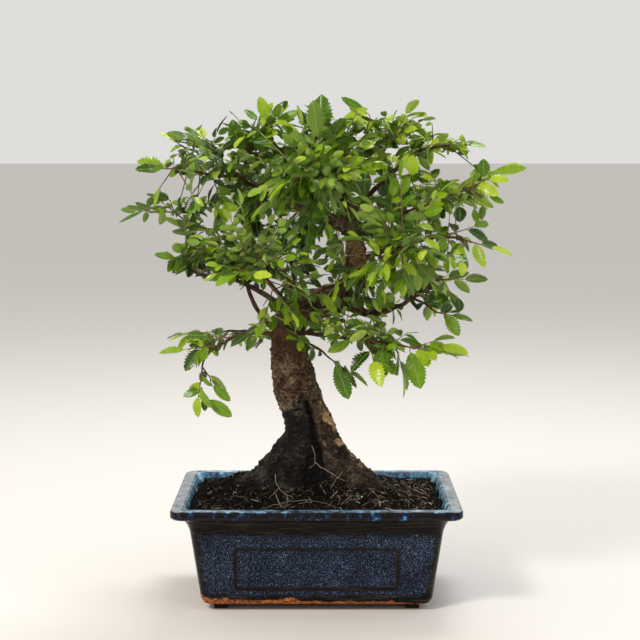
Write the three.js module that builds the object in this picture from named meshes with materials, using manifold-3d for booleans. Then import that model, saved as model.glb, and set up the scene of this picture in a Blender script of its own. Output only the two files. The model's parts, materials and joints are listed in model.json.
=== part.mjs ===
// Zelkova bonsai in its glazed pot. Millimetres, +Z up, +X to the right, +Y to the back.
// The origin is on the surface that the pot stands on, under the middle of the pot.
import * as THREE from 'three';
import { mergeVertices } from 'three/addons/utils/BufferGeometryUtils.js';
import Module from 'manifold-3d';

const wasm = await Module();
wasm.setup();

const UP = new THREE.Vector3(0, 0, 1);
const BACK = new THREE.Vector3(0, 1, 0);
const GAP = 0.35;
const MERGE_DISTANCE = 1e-4;
const SIMPLIFY_DISTANCE = 0.02;

// Pot: rectangular, with a flat lip, a cove below it and a panel sunk in each wall.
const POT_HEIGHT = 74.5;
const RIM_HALF_WIDTH = 100;
const RIM_HALF_DEPTH = 72.5;
const DEPTH_INSET = RIM_HALF_WIDTH - RIM_HALF_DEPTH;
const CORNER_STEPS = 3;
const UNDERSIDE = 4;
const FLOOR = 11;
const WALL_FOOT = { halfWidth: 80.6, z: 9 };
const WALL_HEAD = { halfWidth: 87, z: 54.5 };
const CAVITY_FOOT = { halfWidth: 74, z: FLOOR };
const CAVITY_KNEE = { halfWidth: 82, z: 54.5 };
const CAVITY_MOUTH = { halfWidth: 89.6, z: 72 };
// Each row is half the width, the height and the radius of the corners in plan.
const POT_PROFILE = [
  [74.2, UNDERSIDE, 7],
  [78.6, 5.2, 8],
  [WALL_FOOT.halfWidth, WALL_FOOT.z, 8],
  [WALL_HEAD.halfWidth, WALL_HEAD.z, 7.5],
  [88.6, 61.5, 7],
  [92, 67.5, 6],
  [98.8, 68.4, 5.5],
  [RIM_HALF_WIDTH, 69.7, 5],
  [RIM_HALF_WIDTH, 73.2, 5],
  [98.8, POT_HEIGHT, 5],
  [91.2, POT_HEIGHT, 5],
  [CAVITY_MOUTH.halfWidth, CAVITY_MOUTH.z, 5],
  [CAVITY_KNEE.halfWidth, CAVITY_KNEE.z, 5],
  [CAVITY_FOOT.halfWidth, CAVITY_FOOT.z, 6],
];
const PANEL = { bottom: 16.2, top: 45.5, frontWidth: 112.4, endWidth: 62, corner: 4, sink: 1.2 };
const FOOT = { halfWidth: 71.5, halfDepth: 44, long: 30, short: 22, breadth: 9, rise: 6 };
const DRAIN = { x: 38, radius: 8, sides: 12 };
const DRAIN_MESH = { side: 26, thickness: 1, holes: 2, hole: 8.6, pitch: 10.8 };

// Soil: fills the pot to just below the lip and mounds up round the trunk.
const SOIL = { edge: 68.7, mound: 12.4, moundWidth: 68, moundDepth: 42, sideSteps: 4 };
// Loose soil heaped over the ends of the two widest roots.
const SOIL_HEAPS = [{ x: -58, y: 8, height: 7.5, spread: 17 }, { x: 50, y: 0, height: 3.5, spread: 15 }];
const SOIL_RING_SCALES = [0.93, 0.78, 0.6, 0.42, 0.24, 0.08];

// Trunk: centre x, y and z of each section, and the radius there.
const TRUNK_SIDES = 20;
const TRUNK_SECTIONS = [
  [-4, 0, 58.5, 23],
  [-4, 0, 70.5, 23],
  [-4, 0, 78.5, 22],
  [-4, 0, 86.5, 21],
  [-4.5, 0, 95.5, 20],
  [-5, 0, 104.5, 19.2],
  [-5.2, 0, 113.5, 18.3],
  [-6.4, 0, 122.5, 17.2],
  [-9, 0, 131.5, 16],
  [-13, 0, 141.5, 15.4],
  [-16.3, 0, 152.5, 15.2],
  [-18.3, 0, 164.5, 14.6],
  [-20.5, 1, 176.5, 12.6],
  [-20.5, 1, 188.5, 12],
  [-17.5, 0, 199.5, 11.7],
  [-9, -2, 208, 11.3],
  [4, -5, 211, 10.6],
  [14, -6, 213.5, 9],
];
// Surface roots: direction in degrees, reach past the trunk where they enter the soil,
// sharpness of the ridge, and the height and steepness of the flare into the trunk.
// The one with a negative reach is the hollow between the two main roots at the front.
const ROOT_FOOT = 76.5;
const ROOTS = [
  { turn: 180, reach: 41, sharpness: 9, head: 122.5, flare: 1.5 },
  { turn: -4, reach: 31, sharpness: 9, head: 124.5, flare: 1.8 },
  { turn: -14, reach: 15, sharpness: 16, head: 91.5, flare: 1.4 },
  { turn: -132, reach: 9, sharpness: 7, head: 120.5, flare: 1.6 },
  { turn: -84, reach: -6, sharpness: 12, head: 128.5, flare: 0.8 },
  { turn: -42, reach: 8, sharpness: 8, head: 122.5, flare: 1.6 },
  { turn: 124, reach: 20, sharpness: 8, head: 122.5, flare: 1.8 },
  { turn: 56, reach: 22, sharpness: 8, head: 122.5, flare: 1.8 },
];

// Limbs: radii at the root and the tip, and the points that each one runs through.
// A spray row is its place along the limb from 0 to 1, its turn to the left and its lift in
// degrees from the limb's own heading, its length, and the length of its leaves.
const LIMBS = [
  {
    name: 'leader', sides: 8, radii: [11, 1.2],
    points: [[4, -5, 211], [16, -6, 214.5], [25, -6, 223.5], [28, -4, 237.5], [27, -2, 251.5], [24, 0, 265.5],
      [21, 2, 279.5], [20, 4, 293.5], [19, 4, 307.5], [15, 2, 318.5]],
    sprays: [[1, 0, -14, 25, 16], [0.93, 150, -44, 30, 16]],
  },
  {
    name: 'left_main', radii: [3.4, 0.9],
    points: [[-18, -2, 203.5], [-35, -8, 215.5], [-48, -12, 223.5], [-62, -15, 228.5], [-76, -19, 230.5],
      [-86, -22, 234.5], [-92, -25, 240.5]],
    sprays: [[1, -10, -22, 9, 12], [0.76, 54, 8, 30, 15], [0.56, -50, 10, 32, 16]],
  },
  {
    name: 'left_twin', radii: [2.8, 2],
    points: [[-32, -7, 192.5], [-42, -11, 206.5], [-46, -12, 215.5], [-49, -12.5, 223.5]],
    sprays: [],
  },
  {
    name: 'left_rise', radii: [2.2, 0.8],
    points: [[-58, -14, 227], [-67, -6, 235.5], [-79, 4, 247.5], [-87, 12, 256.5], [-94, 20, 266.5],
      [-103, 26, 273.5]],
    sprays: [[1, 6, -32, 34, 12], [0.74, -50, 12, 32, 15], [0.52, 60, 0, 16, 13]],
  },
  {
    name: 'left_low', radii: [2.1, 0.8],
    points: [[-24, -3, 188.5], [-50, -14, 189.5], [-63, -20, 185.5], [-74, -26, 178.5], [-79, -29, 171.5],
      [-80, -30, 164.5]],
    sprays: [[1, 10, 0, 17, 14], [0.9, 165, 34, 10, 15], [0.5, -26, 24, 20, 18], [0.34, -56, 22, 20, 16]],
  },
  {
    name: 'upright', radii: [3, 0.9],
    points: [[-17, 2, 203.5], [-16, 8, 218.5], [-18, 14, 236.5], [-21, 22, 253.5], [-26, 31, 269.5], [-33, 38, 282.5]],
    sprays: [[1, 20, -14, 34, 16], [0.6, -60, -34, 34, 16]],
  },
  {
    name: 'upper_left', radii: [4.6, 0.9],
    points: [[25, 0, 262.5], [4, -4, 270.5], [-19, -6, 281.5], [-43, -6, 291.5], [-57, -4, 301.5], [-70, 2, 310.5],
      [-84, 8, 316.5], [-93, 12, 319.5]],
    sprays: [[1, 8, 12, 10, 14], [0.8, -58, 4, 32, 16], [0.58, 66, 2, 34, 16]],
  },
  {
    name: 'upper_left_low', radii: [2, 0.8],
    points: [[-56, -4, 300.5], [-73, -14, 300.5], [-89, -22, 304.5], [-99, -27, 305.5]],
    sprays: [[1, 2, -6, 8, 18]],
  },
  {
    name: 'shoulder_left', radii: [2.2, 0.9],
    points: [[-50, -5, 295.5], [-51, -4, 306.5], [-47, -5, 315.5]],
    sprays: [[1, 0, 2, 22, 18]],
  },
  {
    name: 'crown_centre', radii: [2, 0.9],
    points: [[20, 3, 290.5], [9, -12, 295.5], [3, -22, 302.5]],
    sprays: [[1, 0, 44, 24, 27], [0.7, 60, -10, 30, 17]],
  },
  {
    name: 'crown_right', radii: [3, 1],
    points: [[20, 4, 288.5], [34, 8, 304.5], [46, 10, 315.5], [50, 10, 323.5]],
    sprays: [[1, 140, -22, 25, 18], [0.78, -50, -20, 32, 16]],
  },
  {
    name: 'right_top', radii: [3.2, 0.9],
    points: [[23, 1, 272.5], [41, 4, 290.5], [58, 8, 306.5], [70, 10, 316.5], [84, 12, 320.5], [93, 13, 321.5]],
    sprays: [[1, -2, -4, 14, 14], [0.6, 56, -16, 34, 16]],
  },
  {
    name: 'right_high', radii: [3.4, 0.9],
    points: [[27, -2, 253.5], [45, -4, 267.5], [62, -6, 274.5], [77, -8, 279.5], [91, -10, 285.5], [105, -12, 291.5]],
    sprays: [[1, 2, 4, 24, 16], [0.82, 54, 4, 28, 16], [0.6, -58, -4, 32, 16]],
  },
  {
    name: 'right_mid', radii: [3.2, 0.9],
    points: [[28, -5, 239.5], [48, -14, 248.5], [65, -20, 253.5], [80, -26, 257.5], [94, -30, 258.5], [102, -32, 256.5]],
    sprays: [[1, 2, 0, 18, 16], [0.66, 56, 4, 32, 16]],
  },
  {
    name: 'right_heavy', radii: [4.4, 1],
    points: [[16, -6, 212.5], [35, -12, 204], [47, -16, 205.5], [57, -19, 209.5], [67, -22, 215.5],
      [76, -23, 222.5], [84, -24, 228.5]],
    sprays: [[1, 2, -32, 18, 16], [0.62, 54, -14, 32, 16]],
  },
  {
    name: 'right_droop', radii: [1.6, 0.8],
    points: [[67, -22, 215.5], [75, -27, 211.5], [83, -31, 206.5]],
    sprays: [[1, 16, 20, 10, 15]],
  },
  {
    name: 'low_right', radii: [2.5, 0.9],
    points: [[-14, -5, 189.5], [3, -20, 189.5], [18, -30, 188.5], [34, -38, 187.5], [50, -44, 186.5], [62, -48, 184.5]],
    sprays: [[1, 2, 4, 22, 20], [0.86, -30, -62, 12, 23], [0.62, -50, -40, 16, 20], [0.45, 56, -6, 28, 17]],
  },
  {
    name: 'low_mid', radii: [1.7, 0.9],
    points: [[-14, -7, 184.5], [0, -22, 180.5], [9, -32, 174.5]],
    sprays: [[1, 6, 0, 20, 18]],
  },
  {
    name: 'front_twig', radii: [1.4, 0.8],
    points: [[25, -5, 226.5], [20, -18, 227.5], [9, -24, 223.5], [-5, -28, 216.5], [-17, -30, 213.5], [-26, -32, 206.5]],
    sprays: [[1, -4, 6, 24, 16]],
  },
  {
    name: 'front_left', radii: [2.8, 0.9],
    points: [[-17, -3, 204.5], [-27, -28, 220.5], [-36, -48, 232.5], [-43, -64, 238.5]],
    sprays: [[1, 0, -18, 32, 16], [0.62, -62, 0, 34, 16]],
  },
  {
    name: 'front_right', radii: [2.8, 0.9],
    points: [[27, -5, 234.5], [37, -30, 245.5], [48, -50, 252.5], [57, -66, 254.5]],
    sprays: [[1, 2, -8, 32, 16], [0.62, -62, 2, 34, 16]],
  },
  {
    name: 'front_high', radii: [2.6, 0.9],
    points: [[23, 0, 270.5], [13, -24, 284.5], [2, -44, 294.5], [-6, -60, 298.5]],
    sprays: [[1, 0, -10, 34, 17], [0.62, 62, 2, 34, 16]],
  },
  {
    name: 'back_left', radii: [3, 0.9],
    points: [[-17, 4, 201.5], [-19, 28, 218.5], [-27, 49, 233.5], [-38, 65, 242.5]],
    sprays: [[1, 0, -16, 34, 16], [0.6, 62, 0, 34, 16]],
  },
  {
    name: 'back_low_left', radii: [2.4, 0.9],
    points: [[-20, 3, 180.5], [-40, 24, 185.5], [-58, 40, 185.5], [-73, 52, 183.5]],
    sprays: [[1, 4, 0, 32, 16]],
  },
  {
    name: 'back_low_right', radii: [3, 0.9],
    points: [[6, -3, 210.5], [18, 22, 212.5], [34, 42, 217.5], [51, 57, 222.5]],
    sprays: [[1, 0, -8, 32, 16]],
  },
  {
    name: 'back_mid', radii: [3, 0.9],
    points: [[27, -2, 244.5], [24, 24, 256.5], [16, 46, 266.5], [9, 64, 272.5]],
    sprays: [[1, 0, -12, 32, 16], [0.62, -64, 0, 30, 16]],
  },
  {
    name: 'back_high', radii: [2.6, 0.9],
    points: [[22, 1, 276.5], [10, 22, 290.5], [-8, 40, 302.5], [-24, 52, 308.5]],
    sprays: [[1, 0, -8, 34, 16]],
  },
  {
    name: 'back_right', radii: [2.8, 0.9],
    points: [[27, -1, 258.5], [46, 20, 270.5], [66, 36, 278.5], [84, 46, 281.5]],
    sprays: [[1, 0, -6, 34, 16], [0.58, 62, 0, 34, 16]],
  },
];
const LIMB_SIDES = 5;

// Leafy shoots: alternate leaves in two rows and one at the tip.
const SEED = 4101;
const STEM = { root: 1.1, tip: 0.9, sides: 3, steps: 2 };
const SEAT_PASSES = 4;
const SEAT_REACH = 5;
const SWAY = 0.22;
const SAG = 0.1;
const TWIST = 1.9;
const DROOP = 0.55;
const LEAF_SPACING = 4.4;
const LEAF_START = 0.14;
const LEAF_THICKNESS = 0.7;
const LEAF_WIDTH_RATIO = 0.52;
const LEAF_FOLD = 0.3;
const LEAF_CLEARANCE = 0.35;
// One edge of a blade, as fractions of its length and of half its width: tooth, notch, tooth.
const LEAF_EDGE = [[0.34, 0.98], [0.52, 0.8], [0.72, 0.82]];

const degrees = THREE.MathUtils.degToRad;
const vector = (values) => new THREE.Vector3(...values);

// A seeded draw from 0 to 1, the same on every run.
function mulberry32(seed) {
  let state = seed;
  return () => {
    state = (state + 0x6d2b79f5) | 0;
    let mixed = Math.imul(state ^ (state >>> 15), 1 | state);
    mixed = (mixed + Math.imul(mixed ^ (mixed >>> 7), 61 | mixed)) ^ mixed;
    return ((mixed ^ (mixed >>> 14)) >>> 0) / 4294967296;
  };
}

// Geometry to solid and back.
function solidOf(geometry) {
  const bare = geometry.clone();
  bare.deleteAttribute('normal');
  bare.deleteAttribute('uv');
  const merged = mergeVertices(bare, MERGE_DISTANCE);
  const mesh = new wasm.Mesh({
    numProp: 3,
    vertProperties: new Float32Array(merged.getAttribute('position').array),
    triVerts: new Uint32Array(merged.getIndex().array),
  });
  return new wasm.Manifold(mesh);
}

function geometryOf(solid) {
  const mesh = solid.simplify(SIMPLIFY_DISTANCE).getMesh();
  const geometry = new THREE.BufferGeometry();
  geometry.setAttribute('position', new THREE.BufferAttribute(new Float32Array(mesh.vertProperties), 3));
  geometry.setIndex(new THREE.BufferAttribute(new Uint32Array(mesh.triVerts), 1));
  geometry.computeVertexNormals();
  return geometry;
}

function geometryFrom(points, triangles) {
  const geometry = new THREE.BufferGeometry();
  geometry.setAttribute('position', new THREE.Float32BufferAttribute(points.flatMap((p) => p.toArray()), 3));
  geometry.setIndex(triangles.flat());
  return geometry;
}

// A closed skin over a stack of rings that all have the same number of points.
function loft(rings) {
  const count = rings[0].length;
  const last = (rings.length - 1) * count;
  const triangles = [];
  for (let ring = 0; ring < rings.length - 1; ring += 1) {
    for (let i = 0; i < count; i += 1) {
      const a = ring * count + i;
      const b = ring * count + ((i + 1) % count);
      triangles.push([a, b, b + count], [a, b + count, a + count]);
    }
  }
  for (let i = 1; i < count - 1; i += 1) {
    triangles.push([0, i + 1, i], [last, last + i, last + i + 1]);
  }
  return geometryFrom(rings.flat(), triangles);
}

// A rounded rectangle seen from above, anticlockwise, with its long sides split in steps.
function roundedRing(halfWidth, z, radius, sideSteps = 1) {
  const halfDepth = halfWidth - DEPTH_INSET;
  const corners = [[1, 1], [-1, 1], [-1, -1], [1, -1]];
  const arcs = corners.map(([signX, signY], index) => {
    const centre = new THREE.Vector3(signX * (halfWidth - radius), signY * (halfDepth - radius), z);
    return Array.from({ length: CORNER_STEPS + 1 }, (_, step) => {
      const angle = (index + step / CORNER_STEPS) * Math.PI / 2;
      return centre.clone().add(new THREE.Vector3(Math.cos(angle), Math.sin(angle), 0).multiplyScalar(radius));
    });
  });
  return arcs.flatMap((arc, index) => {
    const from = arc[CORNER_STEPS];
    const to = arcs[(index + 1) % arcs.length][0];
    const between = Array.from({ length: sideSteps - 1 }, (_, step) => (
      from.clone().lerp(to, (step + 1) / sideSteps)));
    return [...arc, ...between];
  });
}

// A block of the panel's outline that is parallel to the sloping wall it is sunk in.
function panelCutter(width, wallInset, turn) {
  const slope = (WALL_HEAD.halfWidth - WALL_FOOT.halfWidth) / (WALL_HEAD.z - WALL_FOOT.z);
  const lean = Math.atan(slope);
  const height = (PANEL.top - PANEL.bottom) / Math.cos(lean);
  const middle = (PANEL.top + PANEL.bottom) / 2;
  const wall = WALL_FOOT.halfWidth - wallInset + slope * (middle - WALL_FOOT.z);
  const [x, y, r] = [width / 2, height / 2, PANEL.corner];
  const outline = new THREE.Shape();
  outline.moveTo(-x + r, -y);
  outline.lineTo(x - r, -y).quadraticCurveTo(x, -y, x, -y + r);
  outline.lineTo(x, y - r).quadraticCurveTo(x, y, x - r, y);
  outline.lineTo(-x + r, y).quadraticCurveTo(-x, y, -x, y - r);
  outline.lineTo(-x, -y + r).quadraticCurveTo(-x, -y, -x + r, -y);
  const block = new THREE.ExtrudeGeometry(outline, { depth: 5, bevelEnabled: false, curveSegments: 2 });
  block.translate(0, 0, -PANEL.sink * Math.cos(lean));
  block.rotateX(Math.PI / 2 + lean);
  block.translate(0, -wall, middle);
  return solidOf(block.rotateZ(turn));
}

function drainCutter(x) {
  const hole = new THREE.CylinderGeometry(DRAIN.radius, DRAIN.radius, 3 * FLOOR, DRAIN.sides);
  return solidOf(hole.rotateX(Math.PI / 2).translate(x, 0, FLOOR));
}

// An L-shaped foot under one corner.
function cornerFoot(signX, signY) {
  const outline = new THREE.Shape([
    [0, 0], [-FOOT.long, 0], [-FOOT.long, -FOOT.breadth], [-FOOT.breadth, -FOOT.breadth],
    [-FOOT.breadth, -FOOT.short], [0, -FOOT.short],
  ].map(([x, y]) => new THREE.Vector2(signX * (FOOT.halfWidth + x), signY * (FOOT.halfDepth + y))));
  return solidOf(new THREE.ExtrudeGeometry(outline, { depth: FOOT.rise, bevelEnabled: false }));
}

function pot() {
  const body = solidOf(loft(POT_PROFILE.map(([halfWidth, z, radius]) => roundedRing(halfWidth, z, radius))));
  const feet = [[1, 1], [-1, 1], [-1, -1], [1, -1]].map(([x, y]) => cornerFoot(x, y));
  const cutters = [
    panelCutter(PANEL.frontWidth, DEPTH_INSET, 0),
    panelCutter(PANEL.frontWidth, DEPTH_INSET, Math.PI),
    panelCutter(PANEL.endWidth, 0, Math.PI / 2),
    panelCutter(PANEL.endWidth, 0, -Math.PI / 2),
    drainCutter(-DRAIN.x),
    drainCutter(DRAIN.x),
  ];
  const footed = feet.reduce((whole, foot) => whole.add(foot), body);
  return cutters.reduce((whole, cutter) => whole.subtract(cutter), footed);
}

// A square of plastic mesh that lies over a drain hole and keeps the soil in.
function drainMesh(x) {
  const z = FLOOR + GAP + DRAIN_MESH.thickness / 2;
  const plate = new THREE.BoxGeometry(DRAIN_MESH.side, DRAIN_MESH.side, DRAIN_MESH.thickness);
  let sheet = solidOf(plate.translate(x, 0, z));
  const middle = (DRAIN_MESH.holes - 1) / 2;
  for (let row = 0; row < DRAIN_MESH.holes; row += 1) {
    for (let column = 0; column < DRAIN_MESH.holes; column += 1) {
      const hole = new THREE.BoxGeometry(DRAIN_MESH.hole, DRAIN_MESH.hole, 3 * DRAIN_MESH.thickness);
      hole.translate(x + (column - middle) * DRAIN_MESH.pitch, (row - middle) * DRAIN_MESH.pitch, z);
      sheet = sheet.subtract(solidOf(hole));
    }
  }
  return sheet;
}

function soilHeight(x, y) {
  const mound = SOIL.mound * Math.exp(-((x / SOIL.moundWidth) ** 4) - (y / SOIL.moundDepth) ** 4);
  const lumps = 0.5 * Math.sin(0.19 * x + 1) * Math.cos(0.23 * y) + 0.35 * Math.sin(0.43 * x - 0.37 * y);
  const heaps = SOIL_HEAPS.reduce((total, heap) => {
    const away = Math.hypot(x - heap.x, y - heap.y) / heap.spread;
    return total + heap.height * Math.exp(-(away ** 2));
  }, 0);
  return SOIL.edge + mound + heaps + lumps;
}

function soil(trunkHole) {
  const inside = GAP * 1.2;
  const mouthSlope = (CAVITY_MOUTH.halfWidth - CAVITY_KNEE.halfWidth) / (CAVITY_MOUTH.z - CAVITY_KNEE.z);
  const edgeWidth = CAVITY_KNEE.halfWidth + mouthSlope * (SOIL.edge - CAVITY_KNEE.z) - inside;
  const edge = roundedRing(edgeWidth, SOIL.edge, 5, SOIL.sideSteps);
  const rings = [
    roundedRing(CAVITY_FOOT.halfWidth - inside, FLOOR + GAP, 6, SOIL.sideSteps),
    roundedRing(CAVITY_KNEE.halfWidth - inside, CAVITY_KNEE.z, 5, SOIL.sideSteps),
    edge,
    ...SOIL_RING_SCALES.map((scale) => edge.map(({ x, y }) => (
      new THREE.Vector3(x * scale, y * scale, soilHeight(x * scale, y * scale))))),
  ];
  const recess = (x) => {
    const side = DRAIN_MESH.side + 2 * GAP;
    const box = new THREE.BoxGeometry(side, side, 2 * (DRAIN_MESH.thickness + 2 * GAP));
    return solidOf(box.translate(x, 0, FLOOR + GAP));
  };
  return solidOf(loft(rings)).subtract(recess(-DRAIN.x)).subtract(recess(DRAIN.x)).subtract(trunkHole);
}

// Distance from the trunk's centre line to its bark, in one direction round it.
function trunkRadius(angle, core, z, extra) {
  const ripple = 0.045 * Math.cos(3 * angle + 1) + 0.03 * Math.cos(5 * angle - 0.6);
  const spread = ROOTS.reduce((total, root) => {
    const spill = THREE.MathUtils.clamp((root.head - z) / (root.head - ROOT_FOOT), 0, 1) ** root.flare;
    const facing = Math.max(0, Math.cos(angle - degrees(root.turn)));
    return total + root.reach * spill * facing ** root.sharpness;
  }, 0);
  return core * (1 + ripple) + spread + extra;
}

function trunk(extra = 0) {
  const path = new THREE.CatmullRomCurve3(TRUNK_SECTIONS.map(([x, y, z]) => vector([x, y, z])), false, 'catmullrom');
  const last = TRUNK_SECTIONS.length - 1;
  return solidOf(loft(TRUNK_SECTIONS.map(([x, y, z, core], index) => {
    const along = path.getTangent(index / last);
    const across = new THREE.Vector3().crossVectors(BACK, along).normalize();
    const deep = new THREE.Vector3().crossVectors(along, across);
    const shift = index === 0 ? -extra : 0;
    return Array.from({ length: TRUNK_SIDES }, (_, side) => {
      const angle = (side / TRUNK_SIDES) * 2 * Math.PI;
      const radius = trunkRadius(angle, core, z, extra);
      return new THREE.Vector3(x, y, z + shift)
        .addScaledVector(across, radius * Math.cos(angle))
        .addScaledVector(deep, radius * Math.sin(angle));
    });
  })));
}

// A tapered tube with one ring at each point of its route.
function taperedTube(points, rootRadius, tipRadius, sides) {
  const last = points.length - 1;
  const path = new THREE.CatmullRomCurve3(points, false, 'catmullrom');
  const rings = points.map((point, index) => {
    const along = path.getTangent(index / last);
    const reference = Math.abs(along.z) > 0.9 ? BACK : UP;
    const across = new THREE.Vector3().crossVectors(reference, along).normalize();
    const over = new THREE.Vector3().crossVectors(along, across);
    const radius = THREE.MathUtils.lerp(rootRadius, tipRadius, index / last);
    return Array.from({ length: sides }, (_, side) => {
      const angle = (side / sides) * 2 * Math.PI;
      return point.clone()
        .addScaledVector(across, radius * Math.cos(angle))
        .addScaledVector(over, radius * Math.sin(angle));
    });
  });
  return solidOf(loft(rings));
}

function wood() {
  return LIMBS.reduce((whole, limb) => {
    const tube = taperedTube(limb.points.map(vector), limb.radii[0], limb.radii[1], limb.sides ?? LIMB_SIDES);
    return whole.add(tube);
  }, trunk());
}

// Where a spray starts on its limb, and the way it heads.
function sprayRoot(limb, [place, turn, lift]) {
  const path = new THREE.CatmullRomCurve3(limb.points.map(vector), false, 'catmullrom');
  const along = path.getTangent(place);
  const yaw = Math.atan2(along.y, along.x) + degrees(turn);
  const pitch = Math.asin(along.z) + degrees(lift);
  const heading = new THREE.Vector3(
    Math.cos(pitch) * Math.cos(yaw), Math.cos(pitch) * Math.sin(yaw), Math.sin(pitch));
  const slant = Math.sin(heading.angleTo(along));
  const radius = THREE.MathUtils.lerp(limb.radii[0], limb.radii[1], place);
  const offset = place === 1 ? GAP + STEM.root * slant : (radius + GAP) / slant + STEM.root;
  return { start: path.getPoint(place).addScaledVector(heading, offset), heading };
}

// Slides a shoot's root along its heading until a plain gap is left between it and the wood.
function seated({ start, heading }, solid) {
  const root = start.clone();
  for (let pass = 0; pass < SEAT_PASSES; pass += 1) {
    const end = root.clone().addScaledVector(heading, SEAT_REACH);
    const stub = taperedTube([root.clone(), end], STEM.root, STEM.root, STEM.sides);
    root.addScaledVector(heading, GAP - stub.minGap(solid, SEAT_REACH));
  }
  return { start: root, heading };
}

// The stem's points and the leaves of one shoot, drawn in a fixed order. The two rows of
// leaves lie in a plane that is twisted about the stem, and each leaf droops and rolls.
function planShoot(start, heading, length, leafLength, random) {
  const twist = (random() - 0.5) * TWIST;
  const level = new THREE.Vector3().crossVectors(heading, UP).normalize();
  const side = level.clone().applyAxisAngle(heading, twist);
  const lift = new THREE.Vector3().crossVectors(side, heading);
  const sway = (random() - 0.5) * SWAY * length;
  const sag = (random() - 0.3) * SAG * length;
  const at = (t) => start.clone()
    .addScaledVector(heading, length * t)
    .addScaledVector(level, sway * t * t)
    .addScaledVector(UP, -sag * t * t);
  const count = Math.round(length / LEAF_SPACING);
  const leaves = Array.from({ length: count }, (_, index) => {
    const t = LEAF_START + (1 - LEAF_START) * (index / count);
    const row = index % 2 ? 1 : -1;
    const spread = degrees(62 - 26 * t + 16 * (random() - 0.5));
    const droop = DROOP * (random() - 0.15);
    const roll = degrees(60 * (random() - 0.5));
    const size = leafLength * (0.72 + 0.34 * Math.sin(Math.PI * t)) * (0.85 + 0.3 * random());
    const direction = heading.clone().multiplyScalar(Math.cos(spread))
      .addScaledVector(side, row * Math.sin(spread))
      .addScaledVector(UP, -droop)
      .normalize();
    return { base: at(t), direction, lift, roll, size, index };
  });
  const tipRoll = degrees(60 * (random() - 0.5));
  const tipBase = at(1).addScaledVector(heading, -STEM.root);
  const tipLeaf = { base: tipBase, direction: heading, lift, roll: tipRoll, size: leafLength };
  return { points: Array.from({ length: STEM.steps + 1 }, (_, step) => at(step / STEM.steps)), leaves, tipLeaf };
}

// A toothed blade, folded along its rib, as a closed sheet of even thickness.
function leafBlade({ base, direction, lift, roll, size }) {
  const across = new THREE.Vector3().crossVectors(lift, direction).normalize();
  const normal = new THREE.Vector3().crossVectors(direction, across).applyAxisAngle(direction, roll);
  const side = new THREE.Vector3().crossVectors(normal, direction);
  const halfWidth = size * LEAF_WIDTH_RATIO / 2;
  const place = (along, aside, raise) => base.clone()
    .addScaledVector(direction, along * size)
    .addScaledVector(side, aside * halfWidth)
    .addScaledVector(normal, raise + LEAF_THICKNESS / 2);
  const edge = (sign) => LEAF_EDGE.map(([along, aside]) => (
    place(along, sign * aside, LEAF_FOLD * halfWidth * aside)));
  const sheet = [place(0, 0, 0), ...edge(-1), place(1, 0, 0), ...edge(1).reverse()];
  const faces = [[4, 0, 1], [4, 1, 2], [4, 2, 3], [4, 5, 6], [4, 6, 7], [4, 7, 0]];
  const shift = normal.clone().multiplyScalar(-LEAF_THICKNESS);
  const points = [...sheet, ...sheet.map((point) => point.clone().add(shift))];
  const below = sheet.length;
  const triangles = [...faces, ...faces.map(([a, b, c]) => [a + below, c + below, b + below])];
  for (let i = 0; i < below; i += 1) {
    const next = (i + 1) % below;
    triangles.push([i, i + below, next + below], [i, next + below, next]);
  }
  return solidOf(geometryFrom(points, triangles));
}

// Two leaves of every four, one from each row, stand for the full number on a shoot.
function keptLeaves({ leaves, tipLeaf }) {
  return [tipLeaf, ...leaves.filter(({ index }) => index % 4 === 1 || index % 4 === 2)];
}

function isClear(piece, neighbours) {
  return neighbours.every((other) => piece.minGap(other, LEAF_CLEARANCE) >= LEAF_CLEARANCE);
}

// Every leafy shoot: its stem first, then the leaves that stay clear of all else.
function sprays(fixed, solidWood) {
  const plans = LIMBS.flatMap((limb, limbIndex) => limb.sprays.map((row, rowIndex) => {
    const { start, heading } = seated(sprayRoot(limb, row), solidWood);
    const random = mulberry32(SEED + 100 * limbIndex + rowIndex);
    return { name: `spray_${limb.name}_${rowIndex + 1}`, shoot: planShoot(start, heading, row[3], row[4], random) };
  }));
  const solids = plans.map(({ shoot }) => taperedTube(shoot.points, STEM.root, STEM.tip, STEM.sides));
  plans.forEach(({ shoot }, index) => {
    const neighbours = [...fixed, ...solids.filter((_, other) => other !== index)];
    keptLeaves(shoot).forEach((leaf) => {
      const blade = leafBlade(leaf);
      if (isClear(blade, neighbours)) {
        solids[index] = solids[index].add(blade);
      }
    });
  });
  return plans.map(({ name }, index) => ({ name, solid: solids[index] }));
}

// The finished meshes.
const finish = (color, roughness) => new THREE.MeshStandardMaterial({ color, roughness, metalness: 0 });

function part(name, solid, material) {
  const mesh = new THREE.Mesh(geometryOf(solid), material);
  mesh.name = name;
  return mesh;
}

const bonsai = new THREE.Group();
bonsai.name = 'zelkova_bonsai';
const potSolid = pot();
const soilSolid = soil(trunk(GAP));
const woodSolid = wood();
bonsai.add(
  part('pot', potSolid, finish(0x26324f, 0.3)),
  part('drain_mesh_left', drainMesh(-DRAIN.x), finish(0x2c2c2a, 0.6)),
  part('drain_mesh_right', drainMesh(DRAIN.x), finish(0x2c2c2a, 0.6)),
  part('soil', soilSolid, finish(0x2e2119, 0.95)),
  part('trunk_and_limbs', woodSolid, finish(0x5a4a3d, 0.9)),
);
sprays([potSolid, soilSolid, woodSolid], woodSolid).forEach(({ name, solid }) => {
  bonsai.add(part(name, solid, finish(0x4d8a2a, 0.45)));
});

export default bonsai;
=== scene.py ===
"""Zelkova bonsai in its glazed pot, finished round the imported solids. Metres, +Z up, +Y to the back."""
import json
import math

import bmesh
import bpy
import numpy as np
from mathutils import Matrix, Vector, kdtree, noise

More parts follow.
